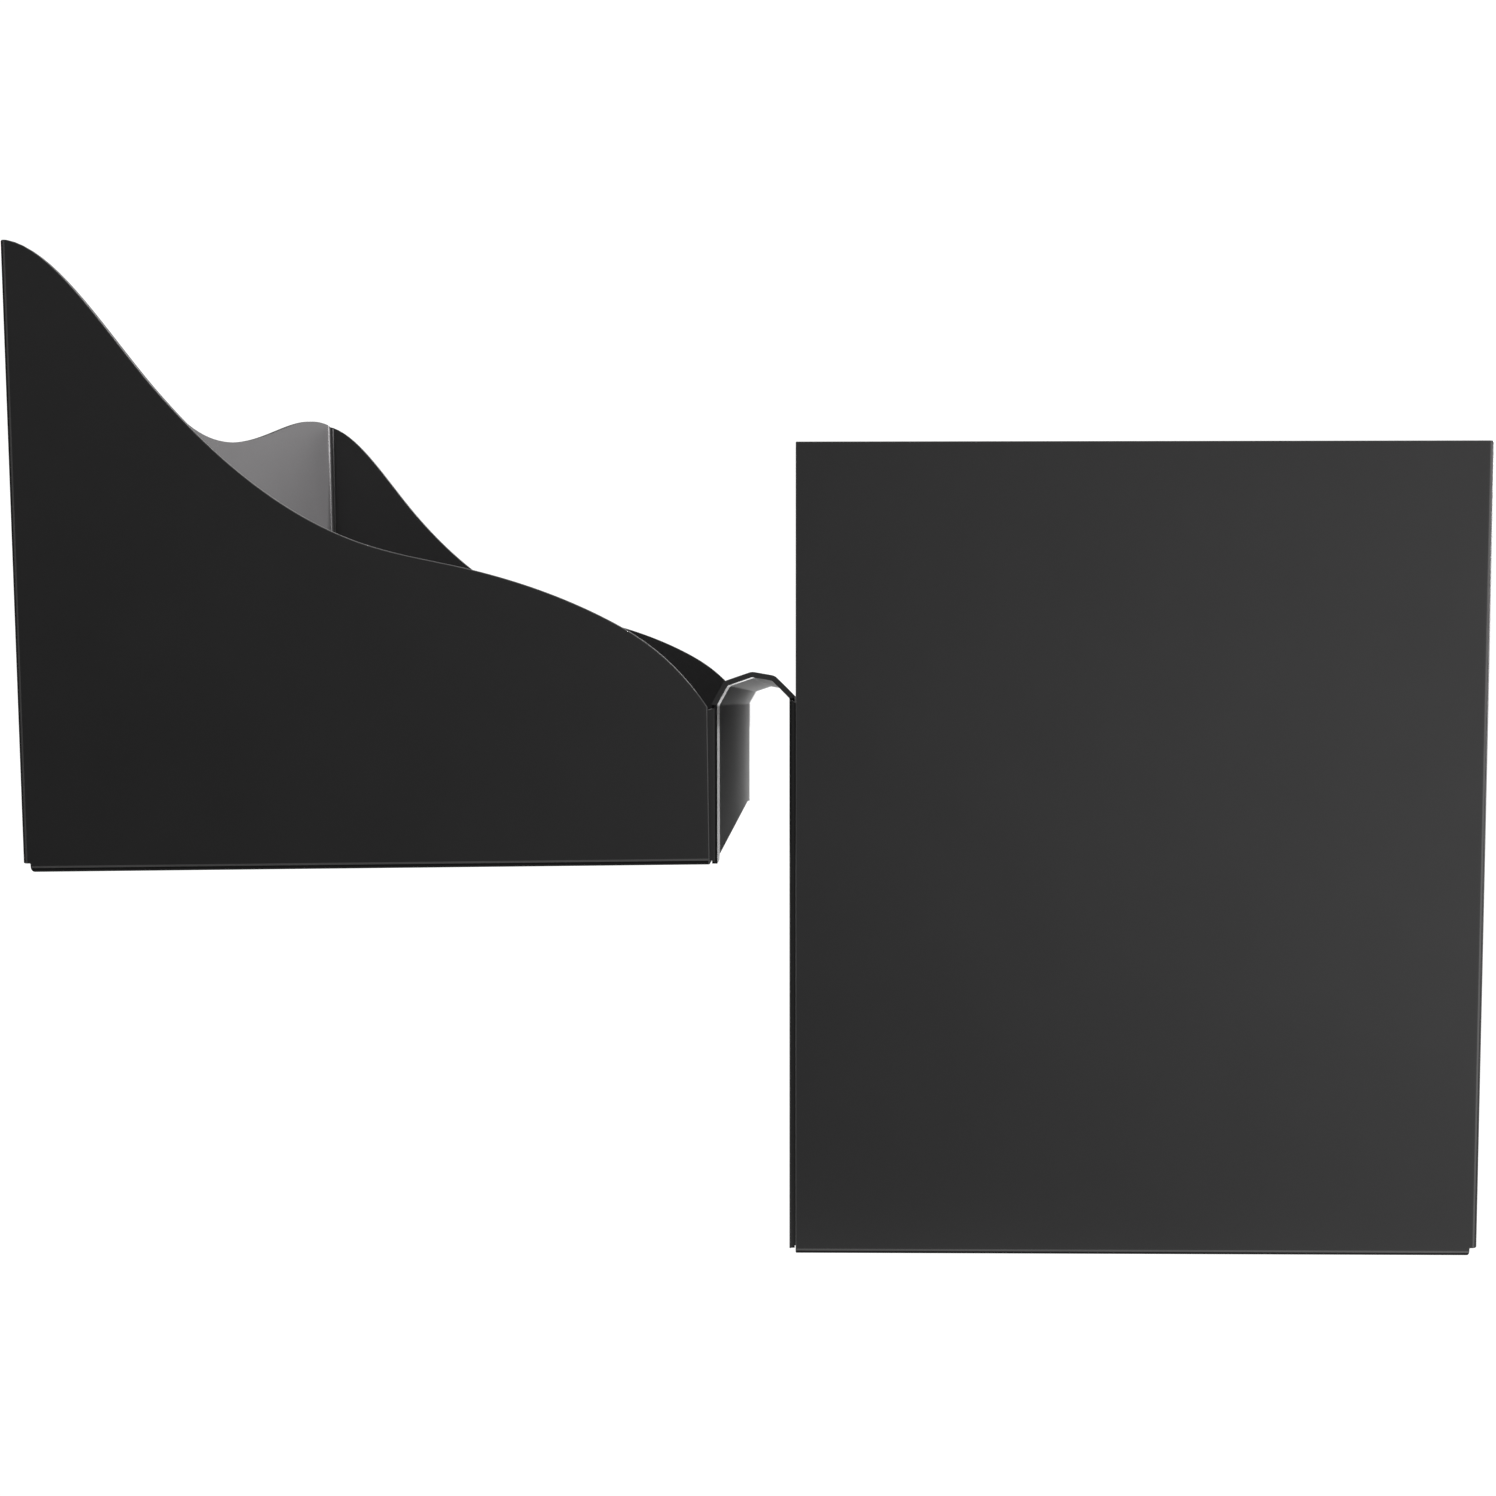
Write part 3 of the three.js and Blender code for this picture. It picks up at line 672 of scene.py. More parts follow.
def peg(radius, low, high, place, sides=40, axis="Z"):
    """A round bar from low to high along its axis, centred on place in the other two."""
    turn = (0, math.pi / 2, 0) if axis == "X" else (0, 0, 0)
    middle = Vector(place)
    middle["XYZ".index(axis)] = (low + high) / 2
    bpy.ops.mesh.primitive_cylinder_add(vertices=sides, radius=radius, depth=high - low,
                                        location=middle, rotation=turn)
    bpy.ops.object.transform_apply(location=True, rotation=True, scale=True)
    return bpy.context.object


def spot_welds(piece, face, inward, first, count, pitch):
    """Presses a row of shallow dimples into an upright flange whose outer face is at X = face.
    inward is +1 or -1 along X, into the sheet, and first is the lowest weld's (y, z)."""
    ends = sorted((face - inward * SHEET, face + inward * WELD_DEPTH))
    tip = peg(WELD_RADIUS, *ends, (0, *first), sides=28, axis="X")
    repeat(tip, count, (0, 0, pitch))
    cut(piece, tip)
    settle_shading(piece)


print("welds are", 2 * WELD_RADIUS / MM, "mm wide and", WELD_DEPTH / MM, "mm deep")

# %% [markdown]
# A finish can be put on chosen faces only. On an outer bend, the first facet still looks forward
# and takes a paler painted highlight, and the facets that have turned away take a darker painted
# shade.

# %% Painting faces
def paint(piece, finish, test):
    """Puts a finish on the faces that pass the test."""
    piece.data.materials.append(finish)
    piece.active_material_index = len(piece.data.materials) - 1
    edit(piece)
    found = pick("FACE", test)
    bpy.ops.object.material_slot_assign()
    leave_edit()
    return found


def start_of_fold(near):
    """Finds the part of an outer bend that still looks forward."""
    return lambda p, f: p.y < near + BEND and 0.93 < -f.normal.y < 0.995


def rest_of_fold(near):
    """Finds the part of an outer bend that has turned away from the front."""
    return lambda p, f: p.y < near + BEND and 0.1 < -f.normal.y < 0.93


print("folds have", PAINTED_FOLD_HIGHLIGHT.name, "and then", PAINTED_BEND_SHADE.name)

# %% [markdown]
# Side panels, channels, rails and clamps are the same on the near and far sides, so the near ones
# are copied and mirrored. Pieces of the tray are made level and then leant over. The last helper
# hands a piece to its body, and measures how far it strays outside the node that it stands for.

# %% Twins, lean and mounting
def mirrored_copy(piece, flip):
    """A copy with its own mesh. flip is the scale, with -1 on the axis that is mirrored."""
    only(piece)
    bpy.ops.object.duplicate(linked=False)
    copy = bpy.context.object
    copy.scale = flip
    bpy.ops.object.transform_apply(location=False, rotation=False, scale=True)
    edit(copy)
    bpy.ops.mesh.select_all(action="SELECT")
    bpy.ops.mesh.normals_make_consistent(inside=False)
    leave_edit()
    return copy


def twin(piece, name):
    """The same piece on the far side."""
    copy = mirrored_copy(piece, (1, -1, 1))
    copy.name = name
    bpy.ops.mesh.customdata_custom_splitnormals_clear()
    settle_shading(copy)
    return copy


def tilt_tray_piece(piece):
    """Carries a piece from the tray's own level frame to its leaning place."""
    only(piece)
    piece.location = TRAY_PIVOT
    piece.rotation_euler = (0, -TILT, 0)
    bpy.ops.object.transform_apply(location=True, rotation=True, scale=True)


def mount(piece, body, slot, *nodes):
    """The piece rides on its body, and stands for these nodes of the frame."""
    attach(piece, body)
    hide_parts(*nodes)
    low = [min(v.co[i] for v in piece.data.vertices) for i in range(3)]
    high = [max(v.co[i] for v in piece.data.vertices) for i in range(3)]
    frame_low, frame_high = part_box(nodes[0])
    miss = max(max(frame_low[i] - low[i], high[i] - frame_high[i]) for i in range(3))
    print(f"{piece.name}: {len(piece.data.polygons)} faces, outside its node by {miss / MM:.2f} mm")


bpy.ops.object.select_all(action="DESELECT")
print("nothing is selected, so the next operators act only on new pieces")

# %% [markdown]
# ## Header side panels
# Each side is one sheet. Its foot and its back edge are turned in. A small square is notched
# out of the corner first, because two folds can't share one corner of metal. Five spot welds
# hold the back wall to the back flange. The far side is the near one mirrored.

# %% Header sides
HEADER_WELDS = 5
HEADER_WELD_PITCH = 60 * MM


def header_side():
    near = -HALF_DEPTH
    piece = flat_face("header_side_near_sheet", (HEADER_LEFT, HEADER_RIGHT), near,
                      (0, HEADER_TOP), "-Y")
    edit(piece)
    cut_notch(Vector((HEADER_RIGHT, near, 0)), -1)
    inward = (0, FLANGE, 0)
    pull_edge(lambda p, e: close(p.z, 0), inward)
    pull_edge(lambda p, e: close(p.x, HEADER_RIGHT) and close(p.y, near), inward)
    round_folds(lambda p, e: close(p.y, near) and (close(p.z, 0) or close(p.x, HEADER_RIGHT)))
    leave_edit()
    thicken(piece)
    piece.data.materials.append(COAT)
    # Painted highlight on the start of each outer fold, painted shade on the rest of it.
    paint(piece, PAINTED_FOLD_HIGHLIGHT, start_of_fold(near))
    paint(piece, PAINTED_BEND_SHADE, rest_of_fold(near))
    break_edges(piece, [COAT, PAINTED_EDGE_HIGHLIGHT])
    spot_welds(piece, HEADER_RIGHT, -1, (near + WELD_INSET, HEADER_WELD_PITCH / 2),
               HEADER_WELDS, HEADER_WELD_PITCH)
    return piece


header_near = header_side()
header_far = twin(header_near, "header_side_far_sheet")
mount(header_near, "shell", "coated_steel", "header_side_near")
mount(header_far, "shell", "coated_steel", "header_side_far")

# %% [markdown]
# ## Header back wall and floor
# The back wall stands inside the side flanges, and its own foot is turned in under the floor.
# The foot is narrower than the wall, to clear the flanges of the sides. So the wall is cut into
# three strips first, and the foot is folded out of the middle one.

# %% Header back wall and floor
FOOT_LIFT = SHEET + 2 * GAP
FLOOR_CORNER = 3 * MM


def foot_strip(half_width):
    """Cuts the open piece at the two ends of its foot."""
    for side in (-1, 1):
        bpy.ops.mesh.select_all(action="SELECT")
        bpy.ops.mesh.bisect(plane_co=(0, side * half_width, 0), plane_no=(0, 1, 0))


def header_back_wall():
    low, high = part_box("header_back_wall")
    piece = flat_face("header_back_wall_sheet", high.x, (low.y, high.y), (0, HEADER_TOP), "+X")
    edit(piece)
    foot_strip(FOOT_HALF)
    pick("VERT", lambda p, v: close(p.z, 0) and abs(p.y) > FOOT_HALF + CLOSE)
    shift_picked((0, 0, FOOT_LIFT))
    pull_edge(lambda p, e: close(p.z, 0) and abs(p.y) < CLOSE, (-FLANGE, 0, 0))
    round_folds(lambda p, e: close(p.x, high.x) and close(p.z, 0) and abs(p.y) < CLOSE)
    leave_edit()
    thicken(piece)
    break_edges(piece, [COAT, PAINTED_EDGE_HIGHLIGHT])
    return piece


def floor_sheet(name, node, low, high):
    """A plain floor, its corners cut off so that it drops between the bends."""
    piece = flat_face(name, (low.x, high.x), (low.y, high.y), high.z, "+Z")
    edit(piece)
    pick("VERT", lambda p, v: True)
    bpy.ops.mesh.bevel(offset=FLOOR_CORNER, offset_type="WIDTH", segments=1, affect="VERTICES")
    leave_edit()
    thicken(piece)
    break_edges(piece, [COAT, PAINTED_EDGE_HIGHLIGHT])
    return piece


header_back = header_back_wall()
header_floor = floor_sheet("header_floor_sheet", "header_floor", *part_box("header_floor"))
mount(header_back, "shell", "coated_steel", "header_back_wall")
mount(header_floor, "shell", "coated_steel", "header_floor")

# %% [markdown]
# ## Weir
# One long sheet climbs out of the header as its front wall, folds over the gap in four flats,
# and drops again as the end wall of the tray. It is modelled on the side that looks into the
# gap, because its side lips bend away from there. Each stretch is pulled out of the one before
# it, as the sheet would be laid out on the bench. GAP_FACE_FOLDS gives each fold's X from the
# weir's right face and its height, in millimetres. On the tray's side, the two side margins
# that look into the gap are painted as bright bare steel: a painted highlight where the lamp on
# the right shines into the gap. On the tray's side, the two side margins
# that look into the gap are bright, as if grit had worn the coat off them.

# %% Weir
GAP_FACE_FOLDS = [(-2.0, 207.0), (-8.30, 213.45), (-15.64, 214.74), (-24.62, 211.66),
                  (-28.65, 204.47)]
WEIR_FOOT = 145.8
LIP = 12 * MM
LIP_RELIEF = 0.8
WEIR_FOOT_REACH = 14 * MM
WEIR_FOOT_LIFT = 1.2 * MM
LIP_TOP_CUT = 4 * MM
LIP_FOOT_CUT = 8 * MM
WEIR_BEND = 1.3 * MM
CREST_BEND = 0.5 * MM


def painted_highlight_margin(place, face):
    """Finds the two side margins over the gap, on the tray's side, that get the painted highlight."""
    middle = WEIR_RIGHT - 15 * MM
    to_gap = Vector((middle - place.x, 0, min(0, 190 * MM - place.z))).normalized()
    at_side = abs(place.y) > FOOT_HALF and abs(face.normal.y) < 0.3
    return at_side and place.x < middle and face.normal.dot(to_gap) > 0.25


def weir_sheet():
    front = WEIR_RIGHT + GAP_FACE_FOLDS[0][0] * MM
    tray_end = WEIR_RIGHT + GAP_FACE_FOLDS[-1][0] * MM
    (header_leg, header_fold), (tray_leg, tray_fold) = GAP_FACE_FOLDS[0], GAP_FACE_FOLDS[-1]
    lip_top = header_fold - LIP_RELIEF
    piece = flat_face("weir_sheet", front, (-INNER_HALF, INNER_HALF), (0, lip_top * MM), "-X")
    edit(piece)
    route = [(header_leg, lip_top)] + GAP_FACE_FOLDS
    route += [(tray_leg, tray_fold - LIP_RELIEF), (tray_leg, WEIR_FOOT)]
    for (x0, z0), (x1, z1) in zip(route, route[1:]):
        here = Vector((WEIR_RIGHT + x0 * MM, 0, z0 * MM))
        pull_edge(lambda p, e: (p - here).length < CLOSE, ((x1 - x0) * MM, 0, (z1 - z0) * MM))
    foot_strip(FOOT_HALF)
    at_foot = lambda p, e: abs(p.y) < CLOSE and (close(p.z, 0) or close(p.z, WEIR_FOOT * MM))
    pull_edge(lambda p, e: at_foot(p, e) and close(p.x, front), (WEIR_FOOT_REACH, 0, 0))
    pull_edge(lambda p, e: at_foot(p, e) and close(p.x, tray_end), (-WEIR_FOOT_REACH, 0, 0))
    on_side = lambda p: close(abs(p.y), INNER_HALF)
    pick("VERT", lambda p, v: on_side(p) and close(p.z, 0))
    shift_picked((0, 0, WEIR_FOOT_LIFT))
    # A lip runs along one long edge, and only that edge has its middle between these heights.
    header_lip = lambda p, e: on_side(p) and close(p.x, front) and 20 * MM < p.z < 200 * MM
    tray_lip = lambda p, e: on_side(p) and close(p.x, tray_end) and 160 * MM < p.z < 190 * MM
    pull_edge(header_lip, (LIP, 0, 0))
    pull_edge(tray_lip, (-LIP, 0, 0))
    at_lip_edge = lambda p: on_side(p) and (close(p.x, front + LIP) or close(p.x, tray_end - LIP))
    pick("VERT", lambda p, v: at_lip_edge(p) and p.z > 190 * MM)
    shift_picked((0, 0, -LIP_TOP_CUT))
    pick("VERT", lambda p, v: at_lip_edge(p) and p.z < 150 * MM)
    shift_picked((0, 0, LIP_FOOT_CUT))
    round_folds(lambda p, e: header_lip(p, e) or tray_lip(p, e), WEIR_BEND)
    round_folds(lambda p, e: at_foot(p, e) and (close(p.x, front) or close(p.x, tray_end)))
    crest = [Vector((WEIR_RIGHT + x * MM, 0, z * MM)) for x, z in GAP_FACE_FOLDS]
    round_folds(lambda p, e: any((Vector((p.x, 0, p.z)) - c).length < CLOSE
                                 and abs((e.verts[0].co - e.verts[1].co).y) > 1 * MM
                                 for c in crest), CREST_BEND, 3)
    leave_edit()
    thicken(piece)
    break_edges(piece, [COAT, PAINTED_EDGE_HIGHLIGHT], 0.5 * MM)
    # Painted shade on the weir's lip bends beside the tray's end.
    paint(piece, PAINTED_BEND_SHADE, lambda p, f: abs(p.x - tray_end) < 2 * MM and abs(p.y) > INNER_HALF
          - WEIR_BEND and 0.3 < abs(f.normal.y) < 0.98)
    # Painted highlight: the margins that face into the gap are painted as bright bare steel.
    paint(piece, PAINTED_MARGIN_HIGHLIGHT, painted_highlight_margin)
    return piece


weir = weir_sheet()
mount(weir, "shell", "coated_steel", "weir_saddle")

# %% [markdown]
# ## The tray's curves
# The sides sweep down from the back wall to the weir in one long S. SWEEP gives a few stations
# along it: the distance from the back wall and the height, both in millimetres, and the slope
# there. A cubic between each pair keeps the slope smooth, as a bent spline does on a drawing
# board. The back wall's top is one wave of a cosine, with a shallow hollow near the middle.

# %% Tray curves
SWEEP = [(0, 230.6, 0), (55.8, 175.4, -1.19), (129.5, 119.3, -0.35), (173, 108.3, -0.275),
         (216.7, 91.5, -0.52), (254.4, 58.2, -1.5)]
DIP_HOLLOW = 2.9 * MM
DIP_HOLLOW_AT = -28 * MM
DIP_HOLLOW_SPREAD = 45 * MM


def sweep_height(along):
    """The side panel's height at a distance from the back wall, both in metres."""
    at = along / MM
    for (x0, z0, s0), (x1, z1, s1) in zip(SWEEP, SWEEP[1:]):
        if at <= x1 + 1e-6:
            break
    span = x1 - x0
    t = (at - x0) / span
    rise = (2 * t**3 - 3 * t**2 + 1) * z0 + (3 * t**2 - 2 * t**3) * z1
    lean = (t**3 - 2 * t**2 + t) * s0 * span + (t**3 - t**2) * s1 * span
    return (rise + lean) * MM


def back_wall_top(y):
    """The back wall's height at a distance y from the middle of the tray."""
    dip = BACK_WALL_DIP * (1 + math.cos(math.pi * y / HALF_DEPTH)) / 2
    hollow = DIP_HOLLOW * math.exp(-((y - DIP_HOLLOW_AT) / DIP_HOLLOW_SPREAD) ** 2)
    return TRAY_BACK_HEIGHT - 0.1 * MM - dip - hollow


print("side heights", [round(sweep_height(x * MM) / MM, 1) for x in (0, 127.2, 254.4)], "mm")

# %% [markdown]
# ## Tray side panels
# A fine row of columns is raised to the curve one by one: a smooth outline comes from a formula,
# and a grid of narrow columns is the simplest mesh that can follow it and still fold at its
# foot. Four spot welds hold the back wall to the folded edge.

# %% Tray sides
TRAY_WELDS = 4
TRAY_WELD_LOWEST = 25 * MM
TRAY_WELD_PITCH = 45 * MM


def raise_columns(start, height_at, axis):
    """Lifts each vertex of the top row to its height. axis is 0 for X and 1 for Y."""
    piece = bpy.context.edit_object
    mesh = bmesh.from_edit_mesh(piece.data)
    places = sorted({round(v.co[axis], 7) for v in mesh.verts})
    for place in places:
        pick("VERT", lambda p, v: close(p[axis], place) and close(p.z, start))
        shift_picked((0, 0, height_at(place) - start))
    return len(places)


def tray_side():
    near, left = -HALF_DEPTH, -TRAY_LENGTH
    level = 20 * MM
    piece = flat_face("tray_side_near_sheet", (left, 0), near, (0, level), "-Y", columns=84)
    edit(piece)
    raise_columns(level, lambda x: sweep_height(x - left), 0)
    cut_notch(Vector((left, near, 0)), 1)
    pull_edge(lambda p, e: close(p.z, 0), (0, FLANGE, 0))
    pull_edge(lambda p, e: close(p.x, left) and close(p.y, near), (0, FLANGE, 0))
    pick("VERT", lambda p, v: close(p.x, left) and p.y > near + CLOSE and p.z > 0.1)
    shift_picked((0, 0, back_wall_top(HALF_DEPTH - FLANGE) - TRAY_BACK_HEIGHT - GAP))
    round_folds(lambda p, e: close(p.y, near) and (close(p.z, 0) or close(p.x, left)))
    leave_edit()
    thicken(piece)
    piece.data.materials.append(COAT)
    # Painted highlight on the start of each outer fold, painted shade on the rest of it.
    paint(piece, PAINTED_FOLD_HIGHLIGHT, start_of_fold(near))
    paint(piece, PAINTED_BEND_SHADE, rest_of_fold(near))
    break_edges(piece, [COAT, PAINTED_EDGE_HIGHLIGHT], 0.6 * MM)
    spot_welds(piece, left, 1, (near + WELD_INSET, TRAY_WELD_LOWEST), TRAY_WELDS,
               TRAY_WELD_PITCH)
    tilt_tray_piece(piece)
    return piece


tray_near = tray_side()
tray_far = twin(tray_near, "tray_side_far_sheet")
mount(tray_near, "shell", "coated_steel", "tray_side_near")
mount(tray_far, "shell", "coated_steel", "tray_side_far")

# %% [markdown]
# ## Tray back wall
# The back wall dips between its two horns, in one wave of a cosine with a shallow hollow a
# little to the near side of the middle. It stands inside the side flanges, with its own edges
# turned in along the side panels in a wider bend. The outlet for the tailings is punched through
# it at floor level with a rounded punch, which is a block with its two upper edges bevelled.

# %% Tray back wall
OUTLET_HALF = 95 * MM
OUTLET_LOW = 4.6 * MM
OUTLET_HIGH = 44.6 * MM
OUTLET_CORNER = 8 * MM
BACK_FACE = -TRAY_LENGTH + SHEET + GAP
WALL_BEND = 3.5 * MM
WALL_LIP = 4.2 * MM


def outlet_punch():
    bpy.ops.mesh.primitive_cube_add(size=1, location=(BACK_FACE, 0, (OUTLET_LOW + OUTLET_HIGH) / 2))
    punch = bpy.context.object
    punch.scale = (20 * MM, 2 * OUTLET_HALF, OUTLET_HIGH - OUTLET_LOW)
    bpy.ops.object.transform_apply(location=True, rotation=True, scale=True)
    edit(punch)
    round_folds(lambda p, e: abs((e.verts[0].co - e.verts[1].co).x) > 1 * MM and p.z > 30 * MM,
                OUTLET_CORNER, 6)
    leave_edit()
    return punch


def tray_back_wall():
    level = 60 * MM
    piece = flat_face("tray_back_wall_sheet", BACK_FACE, (-INNER_HALF, INNER_HALF), (0, level),
                      "-X", columns=60)
    edit(piece)
    raise_columns(level, back_wall_top, 1)
    foot_strip(FOOT_HALF)
    pick("VERT", lambda p, v: close(p.z, 0) and abs(p.y) > FOOT_HALF + CLOSE)
    shift_picked((0, 0, FOOT_LIFT))
    inner = lambda p: abs(p.y) < FOOT_HALF
    pull_edge(lambda p, e: close(p.z, 0) and inner(p), (FLANGE - SHEET, 0, 0))
    at_side = lambda p, e: close(abs(p.y), INNER_HALF) and close(p.x, BACK_FACE)
    pull_edge(at_side, (WALL_LIP, 0, 0))
    pick("VERT", lambda p, v: close(p.x, BACK_FACE + WALL_LIP) and p.z > 0.1)
    shift_picked((0, 0, -2 * MM))
    round_folds(at_side, WALL_BEND)
    round_folds(lambda p, e: close(p.z, 0) and close(p.x, BACK_FACE) and inner(p)
                and abs((e.verts[0].co - e.verts[1].co).y) > CLOSE)
    leave_edit()
    thicken(piece)
    cut(piece, outlet_punch())
    break_edges(piece, [COAT, PAINTED_EDGE_HIGHLIGHT])
    tilt_tray_piece(piece)
    return piece


tray_back = tray_back_wall()
mount(tray_back, "shell", "coated_steel", "tray_back_wall")

# %% [markdown]
# The tray's floor is the same kind of plain sheet as the header's, laid on the side flanges.

# %% Tray floor
def tray_floor_sheet():
    left = -TRAY_LENGTH + 2 * SHEET + 2 * GAP
    half = HALF_DEPTH - 2 * (SHEET + GAP)
    piece = floor_sheet("tray_floor_sheet", "tray_floor",
                        Vector((left, -half, 2.6 * MM)), Vector((-1.5 * MM, half, 4.6 * MM)))
    tilt_tray_piece(piece)
    return piece


tray_floor = tray_floor_sheet()
mount(tray_floor, "shell", "coated_steel", "tray_floor")

# %% [markdown]
# ## Stilling baffle
# A punched plate stands across the header and calms the water before it reaches the weir. One
# punch is repeated into a grid, as a turret press would do it, and taken out of the plate in one
# stroke.

# %% Stilling baffle
PUNCH_RADIUS = 9 * MM
PUNCH_PITCH = 42 * MM
PUNCH_COLUMNS = 6
PUNCH_ROWS = 5
FIRST_ROW = 36 * MM


def punched_plate():
    low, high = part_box("stilling_baffle")
    piece = flat_face("stilling_baffle_plate", high.x, (low.y, high.y), (low.z, high.z), "+X")
    edit(piece)
    round_corners(lambda p, v: True, 3 * MM)
    leave_edit()
    thicken(piece)
    first = (0, -(PUNCH_COLUMNS - 1) / 2 * PUNCH_PITCH, low.z + FIRST_ROW)
    punch = peg(PUNCH_RADIUS, low.x - SHEET, high.x + SHEET, first, axis="X")
    repeat(punch, PUNCH_COLUMNS, (0, PUNCH_PITCH, 0))
    repeat(punch, PUNCH_ROWS, (0, 0, PUNCH_PITCH))
    cut(piece, punch)
    break_edges(piece, [COAT, PAINTED_EDGE_HIGHLIGHT])
    return piece


mount(punched_plate(), "stilling_baffle", "coated_steel", "stilling_baffle")

# %% [markdown]
# An angle along the plate's top is there to lift it by. Its free corners are rounded before it is
# folded, while it is still flat.

# %% Lifting angle
def lifting_angle():
    low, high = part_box("baffle_lip")
    piece = flat_face("baffle_lip_angle", low.x, (low.y, high.y), (low.z, high.z), "-X")
    edit(piece)
    pull_edge(lambda p, e: close(p.z, high.z), (high.x - low.x, 0, 0))
    round_corners(lambda p, v: close(p.x, high.x), 4 * MM)
    round_folds(lambda p, e: close(p.z, high.z) and close(p.x, low.x))
    leave_edit()
    thicken(piece)
    break_edges(piece, [COAT, PAINTED_EDGE_HIGHLIGHT])
    return piece


mount(lifting_angle(), "stilling_baffle", "coated_steel", "baffle_lip")

# %% [markdown]
# The plate slides in two channels of thinner sheet, folded tightly and welded to the side panels.

# %% Guide channels
CHANNEL_WALL = 1.5 * MM


def guide_channel():
    low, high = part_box("baffle_channel_near")
    piece = flat_face("baffle_channel_near_sheet", (low.x, high.x), low.y, (low.z, high.z), "-Y")
    edit(piece)
    upright = lambda p, e: close(p.y, low.y) and (close(p.x, low.x) or close(p.x, high.x))
    pull_edge(upright, (0, high.y - low.y, 0))
    round_folds(upright, 1.2 * MM, 3)
    leave_edit()
    thicken(piece, CHANNEL_WALL)
    break_edges(piece, [COAT, PAINTED_EDGE_HIGHLIGHT], 0.2 * MM)
    return piece


channel_near = guide_channel()
channel_far = twin(channel_near, "baffle_channel_far_sheet")
mount(channel_near, "shell", "coated_steel", "baffle_channel_near")
mount(channel_far, "shell", "coated_steel", "baffle_channel_far")

# %% [markdown]
# ## Solid pieces
# What isn't sheet starts as a block. A bar is a cube stretched between three pairs of values,
# and pieces that are made in parts are joined at the end.

# %% Bars and joining
def bar(name, x, y, z):
    """A block between pairs of values."""
    spans = (x, y, z)
    bpy.ops.mesh.primitive_cube_add(size=1, location=[sum(pair) / 2 for pair in spans])
    piece = bpy.context.object
    piece.name = name
    piece.scale = [high - low for low, high in spans]
    bpy.ops.object.transform_apply(location=True, rotation=True, scale=True)
    return piece


def join(first, *others):
    only(first)
    for other in others:
        other.select_set(True)
    bpy.ops.object.join()
    return first


def edge_line(edge):
    return edge.verts[0].co - edge.verts[1].co


def along_y(edge):
    return abs(edge_line(edge).y) > 1 * MM


def along_z(edge):
    return abs(edge_line(edge).z) > 1 * MM


print("an edge runs along an axis if it is over 1 mm long that way")

# %% [markdown]
# ## Ribbed mat
# Moulded rubber with rounded ribs across the flow, where the fine heavy grains settle. One rib
# is a bar with its upper edges rounded, sunk a little into the mat, and repeated along it.

# %% Ribbed mat
MAT_END = 8 * MM
MAT_SIDE = 20 * MM
MAT_LOW = 4.9 * MM
MAT_TOP = 7.9 * MM
RIB_HEIGHT = 2 * MM
RIB_PITCH = 12 * MM
RIB_COUNT = 18


def moulded_mat():
    start, end = -TRAY_LENGTH + MAT_END, -MAT_END
    half = HALF_DEPTH - MAT_SIDE
    base = bar("ribbed_mat_moulding", (start, end), (-half, half), (MAT_LOW, MAT_TOP))
    edit(base)
    round_folds(lambda p, e: along_z(e), 5 * MM)
    round_folds(lambda p, e: close(p.z, MAT_TOP), 0.6 * MM, 3)
    leave_edit()
    middle = start + RIB_PITCH
    rib_half = half - 2 * MM
    rib = bar("rib", (middle - 2 * MM, middle + 2 * MM), (-rib_half, rib_half),
              (MAT_TOP - 0.5 * MM, MAT_TOP + RIB_HEIGHT))
    edit(rib)
    round_folds(lambda p, e: close(p.z, MAT_TOP + RIB_HEIGHT), 1.4 * MM)
    leave_edit()
    repeat(rib, RIB_COUNT, (RIB_PITCH, 0, 0))
    join(base, rib)
    base.data.materials.clear()
    base.data.materials.append(RUBBER)
    bpy.ops.object.shade_smooth_by_angle(angle=SMOOTH_BELOW)
    tilt_tray_piece(base)
    return base


mount(moulded_mat(), "ribbed_mat", "mat_rubber", "ribbed_mat")

# %% [markdown]
# ## Riffle frame
# Two flat rails with rounded noses carry six riffles. All of it is mill-finish aluminium. The
# near rail is a bar, and the far one its twin.

# %% Riffle rails
RAIL_Y = 22 * MM
RAIL_THICKNESS = 3 * MM
RAIL_LOW = 10.2 * MM
RAIL_HIGH = 30.2 * MM
RAIL_END = 12 * MM
RIFFLE_START = 30 * MM
RIFFLE_PITCH = 38 * MM
RIFFLE_COUNT = 6
RIFFLE_HEIGHT = 15 * MM
RIFFLE_LEAN = 5 * MM
RIFFLE_LIP = 8 * MM


def riffle_rail():
    outer = -HALF_DEPTH + RAIL_Y
    piece = bar("riffle_rail_near_bar", (-TRAY_LENGTH + RAIL_END, -RAIL_END),
                (outer, outer + RAIL_THICKNESS), (RAIL_LOW, RAIL_HIGH))
    edit(piece)
    round_folds(lambda p, e: close(p.z, RAIL_HIGH) and along_y(e), 6 * MM, 8)
    leave_edit()
    break_edges(piece, [MILL_ALUMINIUM], 0.4 * MM)
    tilt_tray_piece(piece)
    return piece


rail_near = riffle_rail()
rail_far = twin(rail_near, "riffle_rail_far_bar")
mount(rail_near, "riffle_frame", "riffle_aluminium", "riffle_rail_near")
mount(rail_far, "riffle_frame", "riffle_aluminium", "riffle_rail_far")

# %% [markdown]
# A riffle is a strip that leans against the flow, with a lip turned over at the top to make the
# water curl. It is modelled once and copied down the tray.

